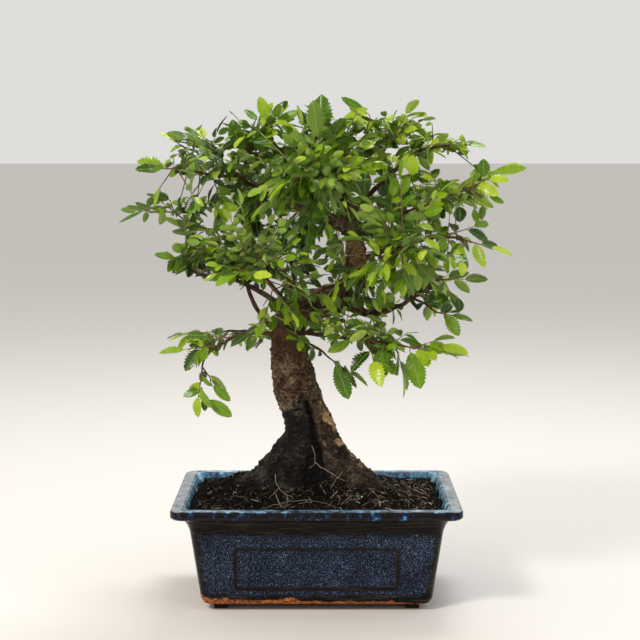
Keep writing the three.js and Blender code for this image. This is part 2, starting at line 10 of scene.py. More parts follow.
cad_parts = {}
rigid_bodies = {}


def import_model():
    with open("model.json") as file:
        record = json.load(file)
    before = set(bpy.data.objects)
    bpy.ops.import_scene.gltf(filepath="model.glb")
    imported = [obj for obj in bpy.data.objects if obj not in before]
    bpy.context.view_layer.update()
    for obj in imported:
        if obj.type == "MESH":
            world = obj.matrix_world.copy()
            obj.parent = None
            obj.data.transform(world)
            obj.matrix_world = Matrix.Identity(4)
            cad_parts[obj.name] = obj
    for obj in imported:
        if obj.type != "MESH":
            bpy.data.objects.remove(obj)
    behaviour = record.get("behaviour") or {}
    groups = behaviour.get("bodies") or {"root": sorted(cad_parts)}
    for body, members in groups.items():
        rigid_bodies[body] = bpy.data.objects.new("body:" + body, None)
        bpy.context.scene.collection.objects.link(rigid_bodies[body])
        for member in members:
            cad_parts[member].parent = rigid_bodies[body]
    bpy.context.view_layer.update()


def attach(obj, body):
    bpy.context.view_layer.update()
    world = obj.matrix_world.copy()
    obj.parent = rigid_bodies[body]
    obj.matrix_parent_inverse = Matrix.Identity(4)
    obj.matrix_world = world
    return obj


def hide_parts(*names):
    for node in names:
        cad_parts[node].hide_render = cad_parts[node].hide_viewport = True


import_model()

# Without a seed, noise_vector would start from the clock.
noise.seed_set(19)
MM = 0.001
UP = np.array((0.0, 0.0, 1.0))
BACK = np.array((0.0, 1.0, 0.0))

# Camera, in millimetres and radians, and its focal length in pixels of a square frame.
CAMERA_X, CAMERA_AWAY, CAMERA_Z, CAMERA_PITCH = 2.3, 1129.4, 317.5, 0.1056
FOCAL_PIXELS, FRAME_PIXELS = 1593, 640

# Pot, in millimetres: half width and height of each row, up the outside and down the inside. The
# depth at any height is less than the width by the inset on each side.
POT_INSET = 27.5
WALL_FOOT, WALL_FOOT_Z = 80.6, 9.0
WALL_HEAD, WALL_HEAD_Z = 87.0, 54.5
WALL_SLOPE = (WALL_HEAD - WALL_FOOT) / (WALL_HEAD_Z - WALL_FOOT_Z)
POT_ROWS = [
    (74.2, 4.0), (78.6, 5.2), (WALL_FOOT, WALL_FOOT_Z), (WALL_HEAD, WALL_HEAD_Z), (87.6, 58.1),
    (88.9, 61.9), (90.8, 65.1), (93.4, 67.5), (98.9, 68.4), (100.0, 69.6), (100.0, 73.3),
    (98.9, 74.5), (91.6, 74.5), (90.4, 74.0), (89.6, 72.0), (82.0, WALL_HEAD_Z), (74.0, 11.0),
]
POT_CORNER = 6.0
PANEL_BOTTOM, PANEL_TOP, PANEL_SINK, PANEL_CORNER = 16.2, 45.5, 1.3, 4.0
PANEL_FRONT, PANEL_END = 112.4, 62.0
FOOT_HALF_WIDTH, FOOT_HALF_DEPTH, FOOT_LONG, FOOT_SHORT, FOOT_BREADTH = 71.5, 44.0, 30.0, 22.0, 9.0
FOOT_HEIGHT = 5.4
DRAIN_X, DRAIN_RADIUS = 38.0, 8.0

# Soil, in millimetres.
SOIL_EDGE, SOIL_MOUND, MOUND_WIDTH, MOUND_DEPTH = 68.7, 13.2, 68.0, 42.0
SOIL_HEAPS = [(-58, 8, 8.5, 17), (50, 0, 4.5, 15), (4, -22, 5, 10)]      # x, y, height and spread
SOIL_HALF_WIDTH = 87.7
# Half width and height of the bed's rows, from its edge down to its floor.
SOIL_ROWS = [(SOIL_HALF_WIDTH, SOIL_EDGE), (81.5, WALL_HEAD_Z), (73.6, 12.8)]
SOIL_CORNER = 5.0
# Fibres and crumbs that lie loose on the bed, and how far out they are scattered.
FIBRES, CRUMBS, SCATTER_X, SCATTER_Y = 5000, 1500, 86, 58.5

# Trunk: centre x, y and z of each section in millimetres, and the radius there.
TRUNK_SECTIONS = [
    (-4, 0, 58.5, 23), (-4, 0, 70.5, 23), (-4, 0, 78.5, 22), (-4, 0, 86.5, 21), (-4.5, 0, 95.5, 20),
    (-5, 0, 104.5, 19.2), (-5.2, 0, 113.5, 18.3), (-6.4, 0, 122.5, 17.2), (-9, 0, 131.5, 16),
    (-13, 0, 141.5, 15.4), (-16.3, 0, 152.5, 15.2), (-18.3, 0, 164.5, 14.6), (-20.5, 1, 176.5, 12.6),
    (-20.5, 1, 188.5, 12), (-17.5, 0, 199.5, 11.7), (-9, -2, 208, 11.3), (4, -5, 211, 10.6),
    (14, -6, 213.5, 9),
]
# Surface roots: direction in degrees, reach, sharpness, height where the flare starts, its power.
ROOT_FOOT = 76.5
ROOTS = [
    (180, 41, 9, 122.5, 1.5), (-4, 31, 9, 124.5, 1.8), (-14, 15, 16, 91.5, 1.4), (-132, 9, 7, 120.5, 1.6),
    (-84, -6, 12, 128.5, 0.8), (-42, 8, 8, 122.5, 1.6), (124, 20, 8, 122.5, 1.8), (56, 22, 8, 122.5, 1.8),
]
# The crease down the front of the trunk runs through these two places, as x and z.
CLEFT_HIGH, CLEFT_LOW = (-6.5, 145.9), (2.3, 97.0)
# Spots on the front of the trunk, as x, z, half width, half height and strength: bare wood where
# bark has flaked off, and moss.
BARE_SPOTS = [
    (8.2, 128.5, 3.6, 9.5, 1.0), (15, 110.8, 2.9, 3.0, 0.8), (21.8, 106.2, 1.5, 2.6, 0.7),
    (5.8, 110.9, 1.3, 3.6, 0.4), (25.6, 101.1, 1.8, 2.0, 0.5), (31, 94.5, 2.5, 1.6, 0.4),
    (26.5, 247, 8, 12, 0.5),
]
MOSS_SPOTS = [(3, 150.5, 7, 13, 0.7), (13, 120.5, 3, 3.5, 0.8), (8, 138.5, 5, 6, 0.5), (34, 88.5, 6, 3, 0.4)]
# Limbs: radii at the root and the tip, the points of the route, and the leafy shoots on it, each
# with its place, turn, lift, length and leaf length.
LIMBS = [
    ("leader", (11, 1.2), [(4, -5, 211), (16, -6, 214.5), (25, -6, 223.5), (28, -4, 237.5), (27, -2, 251.5),
      (24, 0, 265.5), (21, 2, 279.5), (20, 4, 293.5), (19, 4, 307.5), (15, 2, 318.5)],
     [(1, 0, -14, 25, 16), (0.93, 150, -44, 30, 16)]),
    ("left_main", (3.4, 0.9), [(-18, -2, 203.5), (-35, -8, 215.5), (-48, -12, 223.5), (-62, -15, 228.5),
      (-76, -19, 230.5), (-86, -22, 234.5), (-92, -25, 240.5)],
     [(1, -10, -22, 9, 12), (0.76, 54, 8, 30, 15), (0.56, -50, 10, 32, 16)]),
    ("left_twin", (2.8, 2), [(-32, -7, 192.5), (-42, -11, 206.5), (-46, -12, 215.5), (-49, -12.5, 223.5)],
     []),
    ("left_rise", (2.2, 0.8), [(-58, -14, 227), (-67, -6, 235.5), (-79, 4, 247.5), (-87, 12, 256.5),
      (-94, 20, 266.5), (-103, 26, 273.5)],
     [(1, 6, -32, 34, 12), (0.74, -50, 12, 32, 15), (0.52, 60, 0, 16, 13)]),
    ("left_low", (2.1, 0.8), [(-24, -3, 188.5), (-50, -14, 189.5), (-63, -20, 185.5), (-74, -26, 178.5),
      (-79, -29, 171.5), (-80, -30, 164.5)],
     [(1, 10, 0, 17, 14), (0.9, 165, 34, 10, 15), (0.5, -26, 24, 20, 18), (0.34, -56, 22, 20, 16)]),
    ("upright", (3, 0.9), [(-17, 2, 203.5), (-16, 8, 218.5), (-18, 14, 236.5), (-21, 22, 253.5),
      (-26, 31, 269.5), (-33, 38, 282.5)],
     [(1, 20, -14, 34, 16), (0.6, -60, -34, 34, 16)]),
    ("upper_left", (4.6, 0.9), [(25, 0, 262.5), (4, -4, 270.5), (-19, -6, 281.5), (-43, -6, 291.5),
      (-57, -4, 301.5), (-70, 2, 310.5), (-84, 8, 316.5), (-93, 12, 319.5)],
     [(1, 8, 12, 10, 14), (0.8, -58, 4, 32, 16), (0.58, 66, 2, 34, 16)]),
    ("upper_left_low", (2, 0.8), [(-56, -4, 300.5), (-73, -14, 300.5), (-89, -22, 304.5), (-99, -27, 305.5)],
     [(1, 2, -6, 8, 18)]),
    ("shoulder_left", (2.2, 0.9), [(-50, -5, 295.5), (-51, -4, 306.5), (-47, -5, 315.5)],
     [(1, 0, 2, 22, 18)]),
    ("crown_centre", (2, 0.9), [(20, 3, 290.5), (9, -12, 295.5), (3, -22, 302.5)],
     [(1, 0, 44, 24, 27), (0.7, 60, -10, 30, 17)]),
    ("crown_right", (3, 1), [(20, 4, 288.5), (34, 8, 304.5), (46, 10, 315.5), (50, 10, 323.5)],
     [(1, 140, -22, 25, 18), (0.78, -50, -20, 32, 16)]),
    ("right_top", (3.2, 0.9), [(23, 1, 272.5), (41, 4, 290.5), (58, 8, 306.5), (70, 10, 316.5),
      (84, 12, 320.5), (93, 13, 321.5)],
     [(1, -2, -4, 14, 14), (0.6, 56, -16, 34, 16)]),
    ("right_high", (3.4, 0.9), [(27, -2, 253.5), (45, -4, 267.5), (62, -6, 274.5), (77, -8, 279.5),
      (91, -10, 285.5), (105, -12, 291.5)],
     [(1, 2, 4, 24, 16), (0.82, 54, 4, 28, 16), (0.6, -58, -4, 32, 16)]),
    ("right_mid", (3.2, 0.9), [(28, -5, 239.5), (48, -14, 248.5), (65, -20, 253.5), (80, -26, 257.5),
      (94, -30, 258.5), (102, -32, 256.5)],
     [(1, 2, 0, 18, 16), (0.66, 56, 4, 32, 16)]),
    ("right_heavy", (4.4, 1), [(16, -6, 212.5), (35, -12, 204), (47, -16, 205.5), (57, -19, 209.5),
      (67, -22, 215.5), (76, -23, 222.5), (84, -24, 228.5)],
     [(1, 2, -32, 18, 16), (0.62, 54, -14, 32, 16)]),
    ("right_droop", (1.6, 0.8), [(67, -22, 215.5), (75, -27, 211.5), (83, -31, 206.5)],
     [(1, 16, 20, 10, 15)]),
    ("low_right", (2.5, 0.9), [(-14, -5, 189.5), (3, -20, 189.5), (18, -30, 188.5), (34, -38, 187.5),
      (50, -44, 186.5), (62, -48, 184.5)],
     [(1, 2, 4, 22, 20), (0.86, -30, -62, 12, 23), (0.62, -50, -40, 16, 20), (0.45, 56, -6, 28, 17)]),
    ("low_mid", (1.7, 0.9), [(-14, -7, 184.5), (0, -22, 180.5), (9, -32, 174.5)],
     [(1, 6, 0, 20, 18)]),
    ("front_twig", (1.4, 0.8), [(25, -5, 226.5), (20, -18, 227.5), (9, -24, 223.5), (-5, -28, 216.5),
      (-17, -30, 213.5), (-26, -32, 206.5)],
     [(1, -4, 6, 24, 16)]),
    ("front_left", (2.8, 0.9), [(-17, -3, 204.5), (-27, -28, 220.5), (-36, -48, 232.5), (-43, -64, 238.5)],
     [(1, 0, -18, 32, 16), (0.62, -62, 0, 34, 16)]),
    ("front_right", (2.8, 0.9), [(27, -5, 234.5), (37, -30, 245.5), (48, -50, 252.5), (57, -66, 254.5)],
     [(1, 2, -8, 32, 16), (0.62, -62, 2, 34, 16)]),
    ("front_high", (2.6, 0.9), [(23, 0, 270.5), (13, -24, 284.5), (2, -44, 294.5), (-6, -60, 298.5)],
     [(1, 0, -10, 34, 17), (0.62, 62, 2, 34, 16)]),
    ("back_left", (3, 0.9), [(-17, 4, 201.5), (-19, 28, 218.5), (-27, 49, 233.5), (-38, 65, 242.5)],
     [(1, 0, -16, 34, 16), (0.6, 62, 0, 34, 16)]),
    ("back_low_left", (2.4, 0.9), [(-20, 3, 180.5), (-40, 24, 185.5), (-58, 40, 185.5), (-73, 52, 183.5)],
     [(1, 4, 0, 32, 16)]),
    ("back_low_right", (3, 0.9), [(6, -3, 210.5), (18, 22, 212.5), (34, 42, 217.5), (51, 57, 222.5)],
     [(1, 0, -8, 32, 16)]),
    ("back_mid", (3, 0.9), [(27, -2, 244.5), (24, 24, 256.5), (16, 46, 266.5), (9, 64, 272.5)],
     [(1, 0, -12, 32, 16), (0.62, -64, 0, 30, 16)]),
    ("back_high", (2.6, 0.9), [(22, 1, 276.5), (10, 22, 290.5), (-8, 40, 302.5), (-24, 52, 308.5)],
     [(1, 0, -8, 34, 16)]),
    ("back_right", (2.8, 0.9), [(27, -1, 258.5), (46, 20, 270.5), (66, 36, 278.5), (84, 46, 281.5)],
     [(1, 0, -6, 34, 16), (0.58, 62, 0, 34, 16)]),
]
# Habit of every shoot, as in the solids: the seed of its draws, how much the stem sways, sags and
# twists, how far a leaf hangs, and where the leaves sit.
SEED = 4101
SWAY, SAG, TWIST, DROOP = 0.22, 0.1, 1.9, 0.55
LEAF_SPACING, LEAF_START = 4.4, 0.14
CLEAR_OF_WOOD, STALK_RADIUS = 1.6, 0.28
# Twigs that close the crown: how many, the most tries to place them, how far apart their tips lie,
# the least and the greatest length, and the space they fill: its sides, its centre and its radii.
CROWN_TWIGS, TWIG_TRIES, TWIG_SPACING, TWIG_LEAST, TWIG_MOST = 315, 14000, 15, 11, 46
TWIG_SPACE = ((-125, 135), (-92, 86), (180, 354))
CROWN_CENTRE, CROWN_RADII = np.array((3, -2, 266)), np.array((138, 96, 92))


# Colours and nodes.
def linear(hex_colour):
    """An sRGB hex value as linear red, green, blue and alpha."""
    channels = [int(hex_colour[i:i + 2], 16) / 255 for i in (1, 3, 5)]
    return [c / 12.92 if c <= 0.04045 else ((c + 0.055) / 1.055) ** 2.4 for c in channels] + [1.0]


def add(tree, kind, inputs=None, out=0, stops=None, **settings):
    """Adds a node with its settings and links, and gives back one of its outputs."""
    node = tree.nodes.new("ShaderNode" + kind)
    for name, value in settings.items():
        setattr(node, name, value)
    if stops:
        ramp = node.color_ramp.elements
        ramp[0].position, ramp[-1].position = stops[0][0], stops[-1][0]
        for position, _ in stops[1:-1]:
            ramp.new(position)
        for element, (_, colour) in zip(ramp, stops):
            element.color = linear(colour)
    for name, value in (inputs or {}).items():
        socket = node.inputs[name]
        if isinstance(value, bpy.types.NodeSocket):
            tree.links.new(value, socket)
        else:
            socket.default_value = linear(value) if isinstance(value, str) else value
    return node if out is None else node.outputs[out]


def material(name):
    new = bpy.data.materials.new(name)
    new.use_nodes = True
    new.node_tree.nodes.clear()
    return new, new.node_tree


def millimetres(tree):
    """The piece's own coordinates in millimetres, so a pattern's scale is in turns per millimetre."""
    place = add(tree, "TexCoord", out=3)
    return add(tree, "VectorMath", {0: place, "Scale": 1000.0}, operation="SCALE")


def blue_glaze():
    """Stoneware dipped in blue glaze: speckled where it is thick, brown where it ran thin off edges."""
    new, tree = material("stoneware_blue_glaze")
    place = millimetres(tree)
    axis = add(tree, "SeparateXYZ", {0: place}, out=None)
    wobble = add(tree, "TexNoise", {"Vector": place, "Scale": 0.16, "Detail": 3.0})
    wobble = add(tree, "Math", {0: wobble, 1: 0.5}, operation="SUBTRACT")
    z = axis.outputs[2]
    ax = add(tree, "Math", {0: axis.outputs[0]}, operation="ABSOLUTE")
    ay = add(tree, "Math", {0: axis.outputs[1]}, operation="ABSOLUTE")
    ay = add(tree, "Math", {0: ay, 1: POT_INSET}, operation="ADD")
    # Distance in from the nearest upright corner, along the wall.
    foot_line = WALL_FOOT - WALL_FOOT_Z * WALL_SLOPE
    taper = add(tree, "Math", {0: z, 1: WALL_SLOPE, 2: foot_line}, operation="MULTIPLY_ADD")
    from_end = add(tree, "Math", {0: taper, 1: ax}, operation="SUBTRACT")
    from_front = add(tree, "Math", {0: taper, 1: ay}, operation="SUBTRACT")
    corner = add(tree, "Math", {0: from_end, 1: from_front}, operation="MAXIMUM")
    corner = add(tree, "Math", {0: wobble, 1: 9.0, 2: corner}, operation="MULTIPLY_ADD")
    off_corner = add(tree, "MapRange", {"Value": corner, "From Min": 2.5, "From Max": 7.5},
                     interpolation_type="SMOOTHSTEP")
    # Distance from the panel's outline.
    on_end = add(tree, "Math", {0: from_end, 1: from_front}, operation="LESS_THAN")
    end_shift = (PANEL_FRONT - PANEL_END) / 2 - POT_INSET
    ay_wide = add(tree, "Math", {0: ay, 1: end_shift}, operation="ADD")
    along = add(tree, "Mix", {0: on_end, 2: ax, 3: ay_wide}, data_type="FLOAT")
    along = add(tree, "Math", {0: along, 1: PANEL_FRONT / 2 - PANEL_CORNER}, operation="SUBTRACT")
    along = add(tree, "Math", {0: along, 1: 0.0}, operation="MAXIMUM")
    middle = (PANEL_TOP + PANEL_BOTTOM) / 2
    up = add(tree, "Math", {0: z, 1: middle}, operation="SUBTRACT")
    up = add(tree, "Math", {0: up}, operation="ABSOLUTE")
    up = add(tree, "Math", {0: up, 1: (PANEL_TOP - PANEL_BOTTOM) / 2 - PANEL_CORNER}, operation="SUBTRACT")
    up = add(tree, "Math", {0: up, 1: 0.0}, operation="MAXIMUM")
    away = add(tree, "CombineXYZ", {0: along, 1: up})
    away = add(tree, "VectorMath", {0: away}, out=1, operation="LENGTH")
    away = add(tree, "Math", {0: away, 1: PANEL_CORNER}, operation="SUBTRACT")
    away = add(tree, "Math", {0: wobble, 1: 1.6, 2: away}, operation="MULTIPLY_ADD")
    away = add(tree, "Math", {0: away}, operation="ABSOLUTE")
    off_panel = add(tree, "MapRange", {"Value": away, "From Min": 0.1, "From Max": 2.6},
                    interpolation_type="SMOOTHSTEP")
    # The thick glaze lies between the foot and the cove.
    rough_z = add(tree, "Math", {0: wobble, 1: 7.0, 2: z}, operation="MULTIPLY_ADD")
    above = add(tree, "MapRange", {"Value": rough_z, "From Min": 9.5, "From Max": 14.5},
                interpolation_type="SMOOTHSTEP")
    below = add(tree, "MapRange", {"Value": rough_z, "From Min": 58.0, "From Max": 53.0},
                interpolation_type="SMOOTHSTEP")
    thick = above
    for share in (below, off_corner, off_panel):
        thick = add(tree, "Math", {0: thick, 1: share}, operation="MULTIPLY")
    # Specks of about 0.6 mm, some of them run together.
    fleck = add(tree, "TexNoise", {"Vector": place, "Scale": 1.7, "Detail": 4.0, "Roughness": 0.7})
    patch = add(tree, "TexNoise", {"Vector": place, "Scale": 0.05, "Detail": 4.0})
    patch = add(tree, "Math", {0: patch, 1: 0.5}, operation="SUBTRACT")
    fleck = add(tree, "Math", {0: patch, 1: 0.09, 2: fleck}, operation="MULTIPLY_ADD")
    speckled = add(tree, "ValToRGB", {0: fleck}, stops=[
        (0.42, "#020305"), (0.485, "#060a12"), (0.55, "#151e2e"), (0.61, "#4a5e85"), (0.69, "#a9bbd6")])
    # Brown-black runs that lie level under the lip.
    level = add(tree, "VectorMath", {0: place, 1: (0.05, 0.05, 0.7)}, operation="MULTIPLY")
    level = add(tree, "TexNoise", {"Vector": level, "Scale": 1.0, "Detail": 4.0, "Roughness": 0.6})
    level = add(tree, "Mix", {0: 0.6, 2: fleck, 3: level}, data_type="FLOAT")
    thin = add(tree, "ValToRGB", {0: level}, stops=[
        (0.43, "#010101"), (0.50, "#0a0705"), (0.56, "#21180f"), (0.63, "#4a3a29")])
    brown = add(tree, "MapRange", {"Value": rough_z, "From Min": 58.0, "From Max": 62.0, "To Max": 0.12},
                interpolation_type="SMOOTHSTEP")
    line_tint = add(tree, "Math", {0: off_panel, 1: 1.0}, operation="LESS_THAN")
    line_tint = add(tree, "Math", {0: line_tint, 1: 0.6}, operation="MULTIPLY")
    brown = add(tree, "Math", {0: brown, 1: line_tint}, operation="MAXIMUM")
    thin = add(tree, "Mix", {0: brown, 6: thin, 7: "#1d1511"}, out=2, data_type="RGBA")
    body = add(tree, "Mix", {0: thick, 6: thin, 7: speckled}, out=2, data_type="RGBA")
    # Lip: glaze pooled on the top and inside, brown along the edges; the tops of the end lips carry a
    # painted grey reflection.
    across_lip = add(tree, "Math", {0: ax, 1: ay}, operation="MAXIMUM")
    runs = add(tree, "TexNoise", {"Vector": place, "Scale": 0.11, "Detail": 8.0, "Roughness": 0.75})
    pooled_and_reflection = add(tree, "ValToRGB", {0: runs}, stops=[
        (0.36, "#1d2732"), (0.44, "#3c566f"), (0.51, "#5d8db0"), (0.58, "#8dbfda"), (0.70, "#d9e6ec")])
    # Painted reflection: grey tones stand in for the bright room mirrored in the end lips.
    lip_reflection_grey = add(tree, "ValToRGB", {0: runs}, stops=[
        (0.34, "#3a4149"), (0.44, "#737b84"), (0.56, "#949aa2"), (0.68, "#b4bac0")])
    reflecting_end_lip = add(tree, "MapRange", {"Value": ax, "From Min": 91.2, "From Max": 93.0})
    pooled_and_reflection = add(tree, "Mix", {0: reflecting_end_lip, 6: pooled_and_reflection, 7: lip_reflection_grey}, out=2, data_type="RGBA")
    face = add(tree, "ValToRGB", {0: runs}, stops=[
        (0.44, "#020203"), (0.53, "#060911"), (0.59, "#173664"), (0.67, "#5a9cd4")])
    flat = add(tree, "MapRange", {"Value": z, "From Min": 73.8, "From Max": 74.3})
    inside = add(tree, "MapRange", {"Value": across_lip, "From Min": 91.6, "From Max": 90.6})
    flat = add(tree, "Math", {0: flat, 1: inside}, operation="MAXIMUM")
    lip = add(tree, "Mix", {0: flat, 6: face, 7: pooled_and_reflection}, out=2, data_type="RGBA")
    outer_edge = add(tree, "MapRange", {"Value": across_lip, "From Min": 98.5, "From Max": 99.2})
    upper_edge = add(tree, "MapRange", {"Value": z, "From Min": 72.6, "From Max": 73.4})
    outer_edge = add(tree, "Math", {0: outer_edge, 1: upper_edge}, operation="MULTIPLY")
    lower_edge = add(tree, "MapRange", {"Value": z, "From Min": 71.1, "From Max": 70.4})
    inner = add(tree, "Math", {0: across_lip, 1: 91.3}, operation="SUBTRACT")
    inner = add(tree, "Math", {0: inner}, operation="ABSOLUTE")
    inner = add(tree, "MapRange", {"Value": inner, "From Min": 0.9, "From Max": 0.4})
    edges = outer_edge
    for edge in (lower_edge, inner):
        edges = add(tree, "Math", {0: edges, 1: edge}, operation="MAXIMUM")
    broken = add(tree, "MapRange", {"Value": runs, "From Min": 0.62, "From Max": 0.5})
    edges = add(tree, "Math", {0: edges, 1: broken}, operation="MULTIPLY")
    lip = add(tree, "Mix", {0: edges, 6: lip, 7: "#1c1411"}, out=2, data_type="RGBA")
    is_lip = add(tree, "MapRange", {"Value": z, "From Min": 68.1, "From Max": 68.9})
    is_inside = add(tree, "MapRange", {"Value": from_end, "From Min": 2.0, "From Max": 3.2})
    is_inside_deep = add(tree, "MapRange", {"Value": from_front, "From Min": 2.0, "From Max": 3.2})
    is_inside = add(tree, "Math", {0: is_inside, 1: is_inside_deep}, operation="MULTIPLY")
    is_lip = add(tree, "Math", {0: is_lip, 1: is_inside}, operation="MAXIMUM")
    glaze = add(tree, "Mix", {0: is_lip, 6: body, 7: lip}, out=2, data_type="RGBA")
    # Bare clay below the glaze line, with painted shade at the very bottom.
    grain = add(tree, "TexNoise", {"Vector": place, "Scale": 0.5, "Detail": 4.0})
    clay = add(tree, "ValToRGB", {0: grain}, stops=[
        (0.35, "#4d2c1d"), (0.5, "#92522d"), (0.65, "#bd7337")])
    line = add(tree, "Math", {0: wobble, 1: 5.0, 2: z}, operation="MULTIPLY_ADD")
    smear = add(tree, "TexNoise", {"Vector": place, "Scale": 0.035, "Detail": 2.0})
    line = add(tree, "Math", {0: smear, 1: 9.0, 2: line}, operation="MULTIPLY_ADD")
    line = add(tree, "Math", {0: axis.outputs[0], 1: 0.02, 2: line}, operation="MULTIPLY_ADD")
    bare = add(tree, "MapRange", {"Value": line, "From Min": 12.5, "From Max": 11.7})
    # Painted shade: the clay turns brown-black below 4.4 mm, in the gap under the pot.
    foot_shade = add(tree, "MapRange", {"Value": z, "From Min": 4.4, "From Max": 3.6})
    clay = add(tree, "Mix", {0: foot_shade, 6: clay, 7: "#2c1c15"}, out=2, data_type="RGBA")
    colour = add(tree, "Mix", {0: bare, 6: glaze, 7: clay}, out=2, data_type="RGBA")
    gloss = add(tree, "MapRange", {"Value": fleck, "From Min": 0.35, "From Max": 0.7,
                                   "To Min": 0.12, "To Max": 0.3})
    rough = add(tree, "Mix", {0: bare, 2: gloss, 3: 0.82}, data_type="FLOAT")
    skin = add(tree, "Bump", {"Height": fleck, "Strength": 0.35, "Distance": 0.00025})
    waves = add(tree, "TexNoise", {"Vector": place, "Scale": 0.12, "Detail": 2.0})
    skin = add(tree, "Bump", {"Height": waves, "Strength": 0.5, "Distance": 0.0012, "Normal": skin})
    shader = add(tree, "BsdfPrincipled", {
        "Base Color": colour, "Roughness": rough, "Normal": skin, "IOR": 1.5, "Specular IOR Level": 0.14})
    add(tree, "OutputMaterial", {0: shader}, out=None)
    return new


def bark():
    """Elm-like bark: grey-brown with fine cross ridges when dry, nearly black where it is damp; painted
    shade makes its creases and the dip between the legs nearly black.
    """
    new, tree = material("living_bark")
    place = millimetres(tree)
    damp_and_hollow_shade, scar, crease_shade, young, moss = (
        add(tree, "Attribute", out=2, attribute_name=name)
        for name in ("damp_and_hollow_shade", "scar", "crease_shade", "young", "moss"))
    # Ridges and pores of about 3 mm, a little coarser than life, so that they show.
    warp = add(tree, "TexNoise", {"Vector": place, "Scale": 0.13, "Detail": 3.0}, out=1)
    warped = add(tree, "VectorMath", {0: warp, 1: (11.0, 11.0, 11.0), 2: place}, operation="MULTIPLY_ADD")
    flat = add(tree, "VectorMath", {0: warped, 1: (0.28, 0.28, 0.4)}, operation="MULTIPLY")
    ridges = add(tree, "TexNoise", {"Vector": flat, "Scale": 1.0, "Detail": 5.0, "Roughness": 0.65})
    grain = add(tree, "TexNoise", {"Vector": place, "Scale": 0.8, "Detail": 5.0, "Roughness": 0.78})
    blotch = add(tree, "TexNoise", {"Vector": place, "Scale": 0.07, "Detail": 3.0})
    pores = add(tree, "TexVoronoi", {"Vector": flat, "Scale": 1.0, "Randomness": 1.0})
    pores = add(tree, "Math", {0: grain, 1: -0.5, 2: pores}, operation="MULTIPLY_ADD")
    pores = add(tree, "MapRange", {"Value": pores, "From Min": -0.1, "From Max": 0.14})
    shade = add(tree, "Mix", {0: 0.5, 2: ridges, 3: grain}, data_type="FLOAT")
    shade = add(tree, "Mix", {0: 0.25, 2: shade, 3: blotch}, data_type="FLOAT")
    dry = add(tree, "ValToRGB", {0: shade}, stops=[
        (0.41, "#120c08"), (0.47, "#453224"), (0.53, "#755d48"), (0.60, "#b29e87")])
    dark = add(tree, "ValToRGB", {0: shade}, stops=[
        (0.41, "#020202"), (0.48, "#0b0908"), (0.54, "#211c19"), (0.62, "#665c53")])
    twig = add(tree, "ValToRGB", {0: shade}, stops=[
        (0.36, "#2a1c14"), (0.5, "#59412f"), (0.64, "#8a6f52")])
    colour = add(tree, "Mix", {0: young, 6: dry, 7: twig}, out=2, data_type="RGBA")
    spots = add(tree, "Mix", {0: pores, 6: "#211812", 7: colour}, out=2, data_type="RGBA")
    colour = add(tree, "Mix", {0: 0.8, 6: colour, 7: spots}, out=2, data_type="RGBA")
    mossy = add(tree, "MapRange", {"Value": blotch, "From Min": 0.56, "From Max": 0.66, "To Max": 0.35})
    mossy = add(tree, "Math", {0: mossy, 1: moss}, operation="MAXIMUM")
    moss_tone = add(tree, "ValToRGB", {0: grain}, stops=[(0.38, "#2b2a19"), (0.62, "#6f6c45")])
    # Nearly black where damp, and as painted shade in the hollow between the legs.
    colour = add(tree, "Mix", {0: damp_and_hollow_shade, 6: colour, 7: dark}, out=2, data_type="RGBA")
    colour = add(tree, "Mix", {0: mossy, 6: colour, 7: moss_tone}, out=2, data_type="RGBA")
    wound = add(tree, "ValToRGB", {0: grain}, stops=[(0.38, "#5c3b22"), (0.48, "#b08a58"), (0.6, "#e2c898")])
    colour = add(tree, "Mix", {0: scar, 6: colour, 7: wound}, out=2, data_type="RGBA")
    # Painted shade: the cleft, the crack, the hollow and the deep gap between the legs are coloured nearly
    # black.
    colour = add(tree, "Mix", {0: crease_shade, 6: colour, 7: "#080605"}, out=2, data_type="RGBA")
    rough = add(tree, "Mix", {0: damp_and_hollow_shade, 2: 0.86, 3: 0.6}, data_type="FLOAT")
    skin = add(tree, "Bump", {"Height": ridges, "Strength": 1.0, "Distance": 0.0016})
    skin = add(tree, "Bump", {"Height": grain, "Strength": 1.0, "Distance": 0.0012, "Normal": skin})
    skin = add(tree, "Bump", {"Height": pores, "Strength": 0.8, "Distance": 0.0007, "Normal": skin})
    shader = add(tree, "BsdfPrincipled", {
        "Base Color": colour, "Roughness": rough, "Normal": skin, "IOR": 1.45, "Specular IOR Level": 0.2})
    add(tree, "OutputMaterial", {0: shader}, out=None)
    return new


